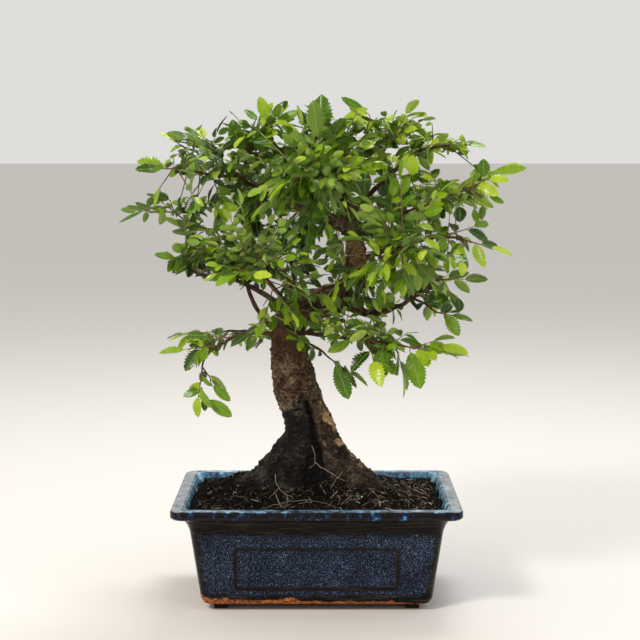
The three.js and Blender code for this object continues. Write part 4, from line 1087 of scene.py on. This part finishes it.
# Fine roots and long fibres that show against the soil: points in millimetres, radius and tone.
LOOSE_ROOTS = [
    ([(-33.4, -55, 74.5), (-20.4, -55, 78), (-6.6, -55, 79.4), (4.4, -55, 77.3), (16, -55, 73.8)], 0.3, 0.7),
    ([(-29, -40, 94.4), (-27.6, -40, 86.7), (-23.4, -40, 81.7), (-16.8, -40, 77.5)], 0.17, 0.88),
    ([(-3, -23, 111.5), (-1.9, -24, 106.5), (-1.2, -25, 99.3), (-4.8, -28, 95.8)], 0.17, 0.84),
    ([(-1.2, -27, 100.1), (8.6, -30, 93.7), (19.9, -33, 88)], 0.18, 0.86),
    ([(18.1, -34, 95.2), (12.1, -35, 87.4), (10, -36, 82.8)], 0.17, 0.82),
    ([(-73, 22, 74.5), (-68, 25, 77.4), (-63, 28, 78.4), (-57, 30, 77)], 1.1, 0.14),
    ([(-77, 19, 72.5), (-72, 25, 75.2), (-67, 31, 76), (-62, 35, 74.5)], 0.8, 0.18),
    ([(-64, 28, 78), (-60, 31, 80.6), (-56, 33, 81.2)], 0.4, 0.16),
    ([(-71, 26, 76), (-72, 29, 79.5), (-75, 31, 81)], 0.35, 0.2),
    ([(55, -14, 78), (62, -18, 77.6), (69, -17, 75.2), (75, -20, 73)], 0.3, 0.6),
    ([(-60, -30, 76.5), (-52, -36, 77.6), (-47, -45, 75.6)], 0.28, 0.66),
]


def loose_roots():
    pile = Pile()
    for points, radius, tone in LOOSE_ROOTS:
        places = np.linspace(0, 1, 16)
        path = np.array([on_route(points, t) for t in places])
        path += np.array([noise.noise_vector(point) for point in path * 0.32]) * 0.9
        tube_points, faces = tube(path, radius * (1.15 - 0.5 * places), 6)
        pile.add(tube_points, faces, tone)
    place_piece(pile.finish("loose_roots_and_long_fibres", [PEAT]), "soil")


# Leafy shoots.
def shoot_numbers(seed):
    """Draws the next number from 0 to 1, in an order that the seed fixes."""
    state = seed & 0xFFFFFFFF

    def draw():
        nonlocal state
        state = (state + 0x6D2B79F5) & 0xFFFFFFFF
        mixed = ((state ^ (state >> 15)) * (1 | state)) & 0xFFFFFFFF
        mixed = ((mixed + (((mixed ^ (mixed >> 7)) * (61 | mixed)) & 0xFFFFFFFF)) & 0xFFFFFFFF) ^ mixed
        return ((mixed ^ (mixed >> 14)) & 0xFFFFFFFF) / 4294967296
    return draw


def toothed_blade(teeth, between, bluntness):
    """One toothed blade: a grid widened row by row, with a second skin below that shares the rim.

    The width between two teeth is given as a share of the width at their points."""
    bpy.ops.object.select_all(action="DESELECT")
    bpy.ops.mesh.primitive_grid_add(x_subdivisions=2, y_subdivisions=2 * teeth + 1, size=1)
    blade = bpy.context.object
    rows = [(0.0, 0.03)]
    for tooth in range(teeth):
        notch = 0.05 + 0.82 * tooth / teeth
        tip = notch + 0.82 / teeth * 0.84
        rows.append((notch, between))
        rows.append((tip, 1.0))
    rows.append((1.0, 0.02))
    bpy.ops.object.mode_set(mode="EDIT")
    mesh = bmesh.from_edit_mesh(blade.data)
    levels = sorted({round(vert.co.y, 4) for vert in mesh.verts})
    for level, (along, share) in reversed(list(zip(levels, rows))):
        swell = math.sin(math.pi * along ** bluntness) ** 0.68 if 0 < along < 1 else 0
        width = max(0.02, share * swell)
        mesh = bmesh.from_edit_mesh(blade.data)
        bpy.ops.mesh.select_all(action="DESELECT")
        for vert in mesh.verts:
            vert.select = abs(vert.co.y - level) < 0.001 and abs(vert.co.z) < 0.001
        mesh.select_flush_mode()
        bpy.ops.transform.resize(value=(width, 1, 1), center_override=(0, 0, 0))
        bpy.ops.transform.translate(value=(0, along - level, 1.0))
    bpy.ops.mesh.select_all(action="SELECT")
    bpy.ops.transform.translate(value=(0, 0, -1.0))
    bpy.ops.object.mode_set(mode="OBJECT")
    points = np.array([vert.co[:] for vert in blade.data.vertices])
    faces = [tuple(face.vertices) for face in blade.data.polygons]
    only(blade)
    bpy.ops.object.delete()
    inner = np.flatnonzero(np.abs(points[:, 0]) < 1e-6)
    inner = inner[(points[inner, 1] > 0.001) & (points[inner, 1] < 0.999)]
    below = {int(i): len(points) + n for n, i in enumerate(inner)}
    skin = [tuple(reversed([below.get(i, i) for i in face])) for face in faces]
    points = np.vstack([points, points[inner]])
    depth = np.zeros(len(points))
    depth[len(points) - len(inner):] = 1.0
    under = np.array([0.0] * len(faces) + [1.0] * len(skin))
    faces = faces + skin
    uvs = np.array([(points[i, 0] + 0.5, points[i, 1]) for face in faces for i in face])
    return points, depth, faces, uvs, under


SMALL_BLADE = toothed_blade(7, 0.7, 0.94)
LARGE_BLADE = toothed_blade(10, 0.78, 1.03)


def stalk_length(size):
    return min(1.6, 0.08 * size)


def leaf(pile, base, heading, lift, roll, size, age, draw, blade=SMALL_BLADE):
    """Adds one blade on its short stalk: folded along the rib, arched down and a little wavy."""
    across = unit(np.cross(lift, heading))
    face_up = turned(np.cross(heading, across), heading, roll)
    side = np.cross(face_up, heading)
    width = size * 0.57 * (0.85 + 0.25 * draw())
    fold, arch, twist = 0.14 + 0.22 * draw(), 0.04 + 0.16 * draw(), 0.5 * (draw() - 0.5)
    wave, phase, hook = 0.035 * draw(), 6.3 * draw(), 0.16 * (draw() - 0.5)
    shape, depth, faces, uvs, under = blade
    u, v = shape[:, 0], shape[:, 1]
    aside = u * width
    rise = fold * np.abs(aside) - arch * size * v ** 2 + wave * size * np.sin(9 * v + phase) * np.abs(2 * u)
    rise = rise + twist * aside * v - 0.22 * depth
    drift = hook * size * v ** 2
    start = base + heading * stalk_length(size)
    points = (start + np.outer(v * size, heading) + np.outer(aside + drift, side) + np.outer(rise, face_up))
    pile.add(points, faces, age, 0, uvs, under)
    return points


def stalk(pile, start, end):
    points, faces = tube(np.array([start, end]), STALK_RADIUS, 3)
    pile.add(points, faces, 0.75, 1)


def plan_shoot(start, heading, length, leaf_length, draw):
    """The stem's curve and the leaves of one shoot, drawn in the same order as in the solids."""
    twist = (draw() - 0.5) * TWIST
    level = unit(np.cross(heading, UP))
    side = turned(level, heading, twist)
    lift = np.cross(side, heading)
    sway = (draw() - 0.5) * SWAY * length
    sag = (draw() - 0.3) * SAG * length

    def at(t):
        return start + heading * length * t + level * sway * t * t - UP * sag * t * t
    count = int(length / LEAF_SPACING + 0.5)
    leaves = []
    for index in range(count):
        t = LEAF_START + (1 - LEAF_START) * index / count
        row = 1 if index % 2 else -1
        spread = math.radians(62 - 26 * t + 16 * (draw() - 0.5))
        droop = DROOP * (draw() - 0.15)
        roll = math.radians(60 * (draw() - 0.5))
        size = leaf_length * (0.72 + 0.34 * math.sin(math.pi * t)) * (0.85 + 0.3 * draw())
        direction = unit(heading * math.cos(spread) + side * row * math.sin(spread) - UP * droop)
        leaves.append((at(t), direction, lift, roll, size, t, index % 4 in (1, 2)))
    tip_roll = math.radians(60 * (draw() - 0.5))
    leaves.append((at(1) - heading * 1.1, heading, lift, tip_roll, leaf_length, 1.0, True))
    return at, leaves, side


def shoot_root(limb, place, turn, lift):
    _, (thick, thin), points, _ = limb
    along = route_heading(points, place)
    yaw = math.atan2(along[1], along[0]) + math.radians(turn)
    pitch = math.asin(along[2]) + math.radians(lift)
    heading = np.array((math.cos(pitch) * math.cos(yaw), math.cos(pitch) * math.sin(yaw), math.sin(pitch)))
    slant = math.sin(math.acos(max(-1, min(1, np.dot(heading, along)))))
    radius = thick + (thin - thick) * place
    offset = 0.35 + 1.1 * slant if place == 1 else radius * 0.85 / max(slant, 0.3) + 1.1
    return on_route(points, place) + heading * offset, heading


# The crown's edge as the front camera sees it: x and z in millimetres, clockwise from the top.
CROWN_OUTLINE = [
    (1, 354.5), (10, 346.5), (21, 354.5), (35, 342.5), (50, 349.5), (68, 342.5), (84, 347.5), (87, 337.5),
    (106, 326.5), (119, 321.5), (108, 316.5), (94, 312.5), (87, 302.5), (96, 298.5), (106, 296.5),
    (118, 309.5), (131, 304.5), (150, 306.5), (140, 297.5), (121, 285.5), (131, 281.5), (116, 268.5),
    (106, 281.5), (91, 272.5), (87, 263.5), (107, 256.5), (126, 256.5), (139, 244.5), (123, 249.5),
    (112, 253.5), (107, 238.5), (120, 230.5), (102, 227.5), (91, 219.5), (101, 212.5), (107, 207.5),
    (99, 196.5), (106, 184.5), (97, 180.5), (107, 171.5), (88, 168.5), (78, 169.5), (74, 149.5),
    (65, 165.5), (50, 156.5), (39, 167.5), (28, 161.5), (23, 142.5), (13, 160.5), (4, 167.5), (-9, 160.5),
    (-19, 172.5), (-34, 178.5), (-56, 170.5), (-68, 163.5), (-61, 160.5), (-68, 147.5), (-62, 132.5),
    (-79, 134.5), (-94, 150.5), (-88, 162.5), (-106, 174.5), (-92, 184.5), (-58, 199.5), (-40, 199.5),
    (-51, 219.5), (-71, 219.5), (-84, 227.5), (-101, 229.5), (-110, 232.5), (-105, 246.5), (-93, 256.5),
    (-101, 268.5), (-121, 273.5), (-143, 266.5), (-131, 278.5), (-120, 291.5), (-109, 286.5),
    (-88, 282.5), (-68, 290.5), (-79, 297.5), (-96, 297.5), (-125, 302.5), (-117, 312.5), (-102, 319.5),
    (-108, 330.5), (-88, 338.5), (-70, 344.5), (-57, 349.5), (-43, 353.5), (-31, 355.5),
]
# Gaps that one sees through: left, right, low and high edge, kept clear back to POCKET_BACK.
OPEN_POCKETS = [(-37, -20.5, 213.5, 227.5), (-90, -44, 194.5, 215.5), (18, 36, 235.5, 255.5)]
POCKET_BACK = 30
# How far leaves reach to either side, to the front and to the back.
CROWN_SIDE, CROWN_FRONT, CROWN_BACK = 146, -108, 106


def seen_from_front(points):
    """Where points fall on the plane through the trunk, seen from the camera's place."""
    share = CAMERA_AWAY / (points[:, 1] + CAMERA_AWAY)
    return CAMERA_X + (points[:, 0] - CAMERA_X) * share, CAMERA_Z + (points[:, 2] - CAMERA_Z) * share


def inside_outline(x, z):
    inside = False
    for (x1, z1), (x2, z2) in zip(CROWN_OUTLINE, CROWN_OUTLINE[1:] + CROWN_OUTLINE[:1]):
        if (z1 > z) != (z2 > z) and x < (x2 - x1) * (z - z1) / (z2 - z1) + x1:
            inside = not inside
    return inside


def in_pocket(x, z, y, margin):
    return y < POCKET_BACK and any(left - margin < x < right + margin and low - margin < z < high + margin
                                   for left, right, low, high in OPEN_POCKETS)


def fits(base, direction, size, wood):
    """Whether a blade stays out of the open pockets, inside the crown and clear of thick wood."""
    probes = base + np.outer(np.array((0.3, 0.7, 1.08)) * size, direction)
    x, z = seen_from_front(probes)
    y = probes[:, 1]
    if any(in_pocket(*seen, 0) for seen in zip(x, z, y)):
        return False
    if not (inside_outline(x[-1], z[-1]) and inside_outline(x[1], z[1])):
        return False
    if max(abs(probes[:, 0])) > CROWN_SIDE or y.min() < CROWN_FRONT or y.max() > CROWN_BACK:
        return False
    return all(wood.find(probe)[2] >= CLEAR_OF_WOOD for probe in probes[1:])


def grow(pile, start, heading, length, leaf_length, draw, wood, tone, extra, thickness=0.62):
    """One shoot: its stem, then its leaves on short stalks. Extra ones hang looser than the solids'."""
    at, leaves, side = plan_shoot(start, heading, length, leaf_length, draw)
    details = shoot_numbers(int(abs(start[0] * 131 + start[2] * 977 + start[1] * 37)) + 5)
    kept = []
    for base, direction, lift, roll, size, t, in_solids in leaves:
        if extra:
            roll += 1.6 * (details() - 0.5)
            size *= 0.52 + 0.5 * details()
            direction = unit(direction - UP * 0.42 * details() + np.array((0, -0.3 * details(), 0)))
        if (in_solids and not extra) or fits(base, direction, size, wood):
            kept.append((base, direction, lift, roll, size, t))
    if len(kept) < 2:
        return at, side
    reach = min(1.0, max(t for *_, t in kept) + 0.02)
    steps = max(3, int(length * reach / 5))
    places = np.linspace(-0.06 if extra else -2.2 / length, reach, steps + 1)
    path = np.array([at(max(t, 0)) + heading * length * min(t, 0) for t in places])
    radii = thickness * (1 - 0.5 * np.clip(places, 0, 1))
    points, faces = tube(path, radii, 5)
    pile.add(points, faces, np.append(np.repeat(np.clip(0.2 + 0.6 * places, 0, 1), 5), (0.3, 0.8)), 1)
    pile.stems.append(path)
    for base, direction, lift, roll, size, t in kept:
        age = np.clip(tone + 0.3 * (t - 0.5) + 0.8 * (details() - 0.5), 0.0, 0.95)
        stalk(pile, base, base + direction * stalk_length(size) * 1.6)
        leaf(pile, base, direction, lift, roll, size, age, details)
    return at, side


def leafy_shoots(wood_points):
    """Every shoot of the solids with all its leaves, and the side twigs that fill the crown."""
    wood, nothing_near = nearest_of(wood_points), nearest_of([(0, 0, -9999)])
    piles = {}
    for limb_index, limb in enumerate(LIMBS):
        name, _, _, shoots = limb
        for shoot_index, (place, turn, lift, length, leaf_length) in enumerate(shoots):
            draw = shoot_numbers(SEED + 100 * limb_index + shoot_index)
            start, heading = shoot_root(limb, place, turn, lift)
            pile = piles[f"{name}_{shoot_index + 1}"] = Pile()
            own = shoot_numbers(9000 + 131 * limb_index + 17 * shoot_index)
            # Painted shade and light: leaves deep in the crown are darker, and leaves further right lighter
            # as if in more sun.
            outward = np.linalg.norm((start + heading * length - np.array((10, 0, 245))) / (140, 100, 100))
            tone = 0.2 + 0.36 * min(1.2, outward) + 0.18 * (own() - 0.5) + 0.0014 * start[0]
            at, side = grow(pile, start, heading, length, leaf_length, draw, nothing_near, tone, False)
            if (name, shoot_index) in BARE_SHOOTS:
                continue
            twigs = 3 if length > 26 else 2 if length > 18 else 1
            for twig in range(twigs):
                t = 0.12 + 0.6 * (twig + 0.5 * own()) / twigs
                sign = 1 if twig % 2 else -1
                angle = math.radians(34 + 26 * own())
                branch = unit(heading * math.cos(angle) + side * sign * math.sin(angle)
                              + UP * (0.9 * (own() - 0.4)))
                grow(pile, at(t), branch, length * (0.6 + 0.25 * own()), leaf_length * (0.75 + 0.25 * own()),
                     own, wood, tone - 0.04, True, 0.42)
            if shoot_index == 0 and name not in BARE_LIMBS:
                fill_limb(pile, limb, own, wood, tone)
    crown_twigs(piles, wood)
    for base, tip, breadth, tone in FEATURE_LEAVES:
        feature_leaf(piles, np.array(base, float), np.array(tip, float), breadth, tone)
    for node, pile in piles.items():
        piece = pile.finish(f"leafy_shoot_{node}", [LEAF, STEM])
        place_piece(piece, "leafy_shoot", f"spray_{node}")


def fill_limb(pile, limb, own, wood, tone):
    """Short shoots along the outer part of a limb."""
    points = limb[2]
    length = np.linalg.norm(np.diff(np.asarray(points, float), axis=0), axis=1).sum()
    count = int(length * 0.62 / 12)
    for index in range(count):
        t = 0.36 + 0.6 * (index + own() * 0.6) / max(1, count)
        along = route_heading(points, t)
        turn = (1 if index % 2 else -1) * math.radians(45 + 45 * own())
        heading = unit(turned(along, UP, turn) + UP * (1.1 * (own() - 0.3)))
        start = on_route(points, t)
        grow(pile, start, heading, 13 + 13 * own(), 12 + 4 * own(), own, wood, tone - 0.06, True, 0.4)


# Shoots and limbs that carry no twigs beyond the solids'.
BARE_SHOOTS = {("left_low", 0), ("left_low", 1), ("front_twig", 0), ("low_right", 1), ("low_mid", 0),
               ("left_rise", 0)}
BARE_LIMBS = {"left_low", "front_twig", "left_main"}
# Leaves that stand out: base, tip and breadth in millimetres, and tone.
FEATURE_LEAVES = [
    ((12.6, -42, 173.2), (22.3, -45, 149.3), 12.5, 0.4),
    ((43.9, -50, 185.5), (45.2, -54, 165), 12, 0.5),
    ((63.6, -50, 182.7), (70.4, -54, 157.7), 16, 0.62),
    ((84.2, -50, 185.9), (101.7, -53, 180.1), 9, 0.9),
    ((3.7, -34, 220.8), (12.6, -37, 206.6), 8.5, 0.9),
    ((-5.3, -32, 206.8), (3, -35, 200.8), 7, 0.85),
    ((24.3, -40, 188.2), (9.2, -43, 180.2), 8, 0.7),
    ((24.3, -40, 203.4), (33.9, -43, 194.1), 9, 0.5),
    ((-73, -31, 155.4), (-60.6, -33, 146), 8, 0.6),
    ((-76.5, -31, 146), (-60.6, -33, 134), 9.5, 0.62),
    ((-78.6, -30, 148.2), (-77.5, -33, 138.5), 6, 0.3),
    ((-80, -29, 152), (-92, -32, 148.5), 8, 0.5),
    ((4.4, -24, 326.7), (1.2, -27, 354.1), 16, 0.42),
    ((14.7, -20, 334.1), (33.3, -23, 346.7), 8.4, 0.85),
    ((36.7, -10, 342.6), (18.5, -13, 353.8), 7.5, 0.5),
    ((-53, -22, 316.9), (-57.6, -25, 337.7), 11.3, 0.4),
    ((-34.7, -14, 337.6), (-38.5, -17, 353.7), 9.9, 0.8),
    ((-31.1, -12, 336.2), (-12.4, -15, 345.9), 7.4, 0.62),
    ((32.5, -58, 286.1), (31.5, -61, 303.2), 11, 0.28),
    ((52.8, -58, 244.4), (53.3, -61, 260.9), 12.5, 0.3),
    ((64.3, -40, 300), (66.7, -43, 313.1), 9.7, 0.85),
    ((116.7, -14, 298.6), (115.8, -17, 311), 10.4, 0.45),
    ((121, -14, 302.8), (144.5, -17, 306.1), 7.5, 0.72),
    ((99, -20, 280), (100.1, -23, 269.7), 9.5, 0.25),
    ((109.4, -20, 278.3), (110.7, -23, 268.7), 6.4, 0.62),
    ((119.6, -16, 286.8), (129.3, -19, 281.9), 5, 0.7),
    ((98.8, -30, 205.9), (99, -33, 215.3), 7.9, 0.25),
    ((-81.8, -20, 273.1), (-80.3, -23, 284), 9.5, 0.3),
    ((-122.2, 10, 275.9), (-140, 7, 267.9), 3.4, 0.4),
    ((-101.9, -20, 244.8), (-96.8, -23, 235.1), 6.5, 0.25),
    ((-71.5, -28, 260.1), (-61.3, -31, 278.7), 9.9, 0.38),
    ((-56.5, -30, 266.4), (-46.5, -33, 282.4), 9, 0.35),
    ((-24, -50, 290.1), (-14.4, -53, 304.6), 9, 0.5),
    ((2.4, -55, 297.4), (-9.5, -58, 314.1), 9.6, 0.42),
    ((19.3, -50, 305.7), (46.8, -53, 308.1), 6, 0.85),
    ((14.4, -55, 283.1), (1.2, -58, 292.7), 8.2, 0.5),
]


def feature_leaf(piles, base, tip, breadth, tone):
    """A blade that shows its face to the front, on a stalk from the nearest stem."""
    length = np.linalg.norm(tip - base)
    heading = (tip - base) / length
    details = shoot_numbers(int(abs(base[0] * 53 + tip[2] * 211)))
    best = None
    for pile in piles.values():
        for points in pile.stems:
            away = np.linalg.norm(points - base, axis=1)
            if best is None or away.min() < best[0]:
                best = (away.min(), pile, points[away.argmin()])
    distance, pile, root = best
    middle = (root + base) / 2 - heading * min(3.0, 0.15 * distance) + UP * 0.12 * distance
    route = np.array([on_route([root, middle, base, base + heading * 2.2], t) for t in np.linspace(0, 1, 7)])
    points, faces = tube(route, np.linspace(0.5, 0.3, 7), 5)
    pile.add(points, faces, 0.45, 1)
    leaf(pile, base, heading, np.array((0.0, -1.0, 0.35)), 0.3 * (details() - 0.5), length, tone, details,
         LARGE_BLADE)
    blade = pile.points[-1]
    middle = np.outer((blade - base) @ heading, heading) + base
    pile.points[-1] = middle + (blade - middle) * breadth / (length * 0.56)


def crown_twigs(piles, wood):
    """Twigs from the limbs out to the places in the crown that are still open."""
    starts, owners = [], []
    for limb in LIMBS:
        if not limb[3] or limb[0] in ("left_low", "front_twig"):
            continue
        path, _ = limb_path(limb, 4.0)
        for point in path[int(len(path) * (0.5 if limb[0] == "leader" else 0.22)):]:
            starts.append(point)
            owners.append(limb[0] + "_1")
    near = nearest_of(starts)
    draw = np.random.default_rng(311)
    taken = []
    for _ in range(TWIG_TRIES):
        if len(taken) >= CROWN_TWIGS:
            break
        target = np.array([draw.uniform(low, high) for low, high in TWIG_SPACE])
        # More of them in the front of the middle, where the crown is closed.
        front = math.exp(-((target[0] - 5) / 75) ** 2) * (target[1] < 10) * (target[2] > 200)
        if draw.random() > 0.5 + 0.5 * front:
            continue
        reach = (target - CROWN_CENTRE) / CROWN_RADII
        if reach @ reach > 1:
            continue
        x, z = seen_from_front(target[None])
        if not inside_outline(x[0] * 1.03, 254 + (z[0] - 254) * 1.03) or in_pocket(x[0], z[0], target[1], 7):
            continue
        if any(np.linalg.norm(target - other) < TWIG_SPACING - 2.5 * front for other in taken):
            continue
        point, index, distance = near.find(target)
        if not TWIG_LEAST < distance < TWIG_MOST:
            continue
        taken.append(target)
        point = np.array(point)
        own = shoot_numbers(5000 + 7 * len(taken))
        heading = unit(target - point + UP * 3)
        # Painted shade and light: twigs deep in the crown are darker, and those further right lighter as if
        # in more sun.
        tone = 0.18 + 0.42 * min(1.1, math.sqrt(reach @ reach)) + 0.2 * (own() - 0.5) + 0.0014 * target[0]
        blade = 11.5 + 5.5 * own() + 0.015 * min(target[0], 60)
        grow(piles[owners[index]], point, heading, distance, blade, own, wood, tone, True,
             0.4 + 0.004 * distance)


# Stage.
def area_light(name, place, aim, size, power, colour):
    light = bpy.data.lights.new(name, "AREA")
    light.shape, light.size, light.size_y = "RECTANGLE", size, size * 0.7
    light.energy = power
    light.color = linear(colour)[:3]
    lamp = bpy.data.objects.new(name, light)
    lamp.location = place
    lamp.rotation_euler = (Vector(aim) - Vector(place)).to_track_quat("-Z", "Y").to_euler()
    bpy.context.collection.objects.link(lamp)


def stage():
    bpy.ops.object.select_all(action="DESELECT")
    bpy.ops.mesh.primitive_plane_add(size=80, location=(0, 0, 0))
    floor = bpy.context.object
    floor.name = "pale_board"
    floor.data.materials.append(studio_board())
    world = bpy.data.worlds.new("studio")
    world.use_nodes = True
    background = world.node_tree.nodes["Background"]
    background.inputs["Color"].default_value = linear("#f3f2ef")
    background.inputs["Strength"].default_value = 0.82
    bpy.context.scene.world = world
    area_light("key_softbox", (-0.75, -0.95, 1.15), (0, 0, 0.2), 0.36, 15, "#fff6ea")
    area_light("fill_panel", (1.1, -0.7, 0.7), (0, 0, 0.2), 0.9, 2, "#eef3ff")
    area_light("top_panel", (0.2, 0.6, 1.3), (0, 0, 0.25), 0.5, 9, "#ffffff")
    camera = bpy.data.cameras.new("front_camera")
    camera.sensor_width = 36
    camera.lens = camera.sensor_width * FOCAL_PIXELS / FRAME_PIXELS
    camera.clip_start = 0.01
    front = bpy.data.objects.new("front_camera", camera)
    front.location = Vector((CAMERA_X, -CAMERA_AWAY, CAMERA_Z)) * MM
    front.rotation_euler = (math.pi / 2 - CAMERA_PITCH, 0, 0)
    bpy.context.collection.objects.link(front)
    bpy.context.scene.camera = front
    bpy.context.scene.view_settings.view_transform = "Standard"


def carried_over_nodes():
    """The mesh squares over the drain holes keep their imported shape."""
    mesh_plastic = black_mesh()
    for piece in list(bpy.data.objects):
        if piece.type == "MESH" and piece.name.startswith("drain_mesh"):
            piece.data.materials.clear()
            piece.data.materials.append(mesh_plastic)


carried_over_nodes()
glazed_pot()
bark_points = trunk_and_limbs()
soil_bed()
soil_fibres()
loose_roots()
leafy_shoots(bark_points)
stage()
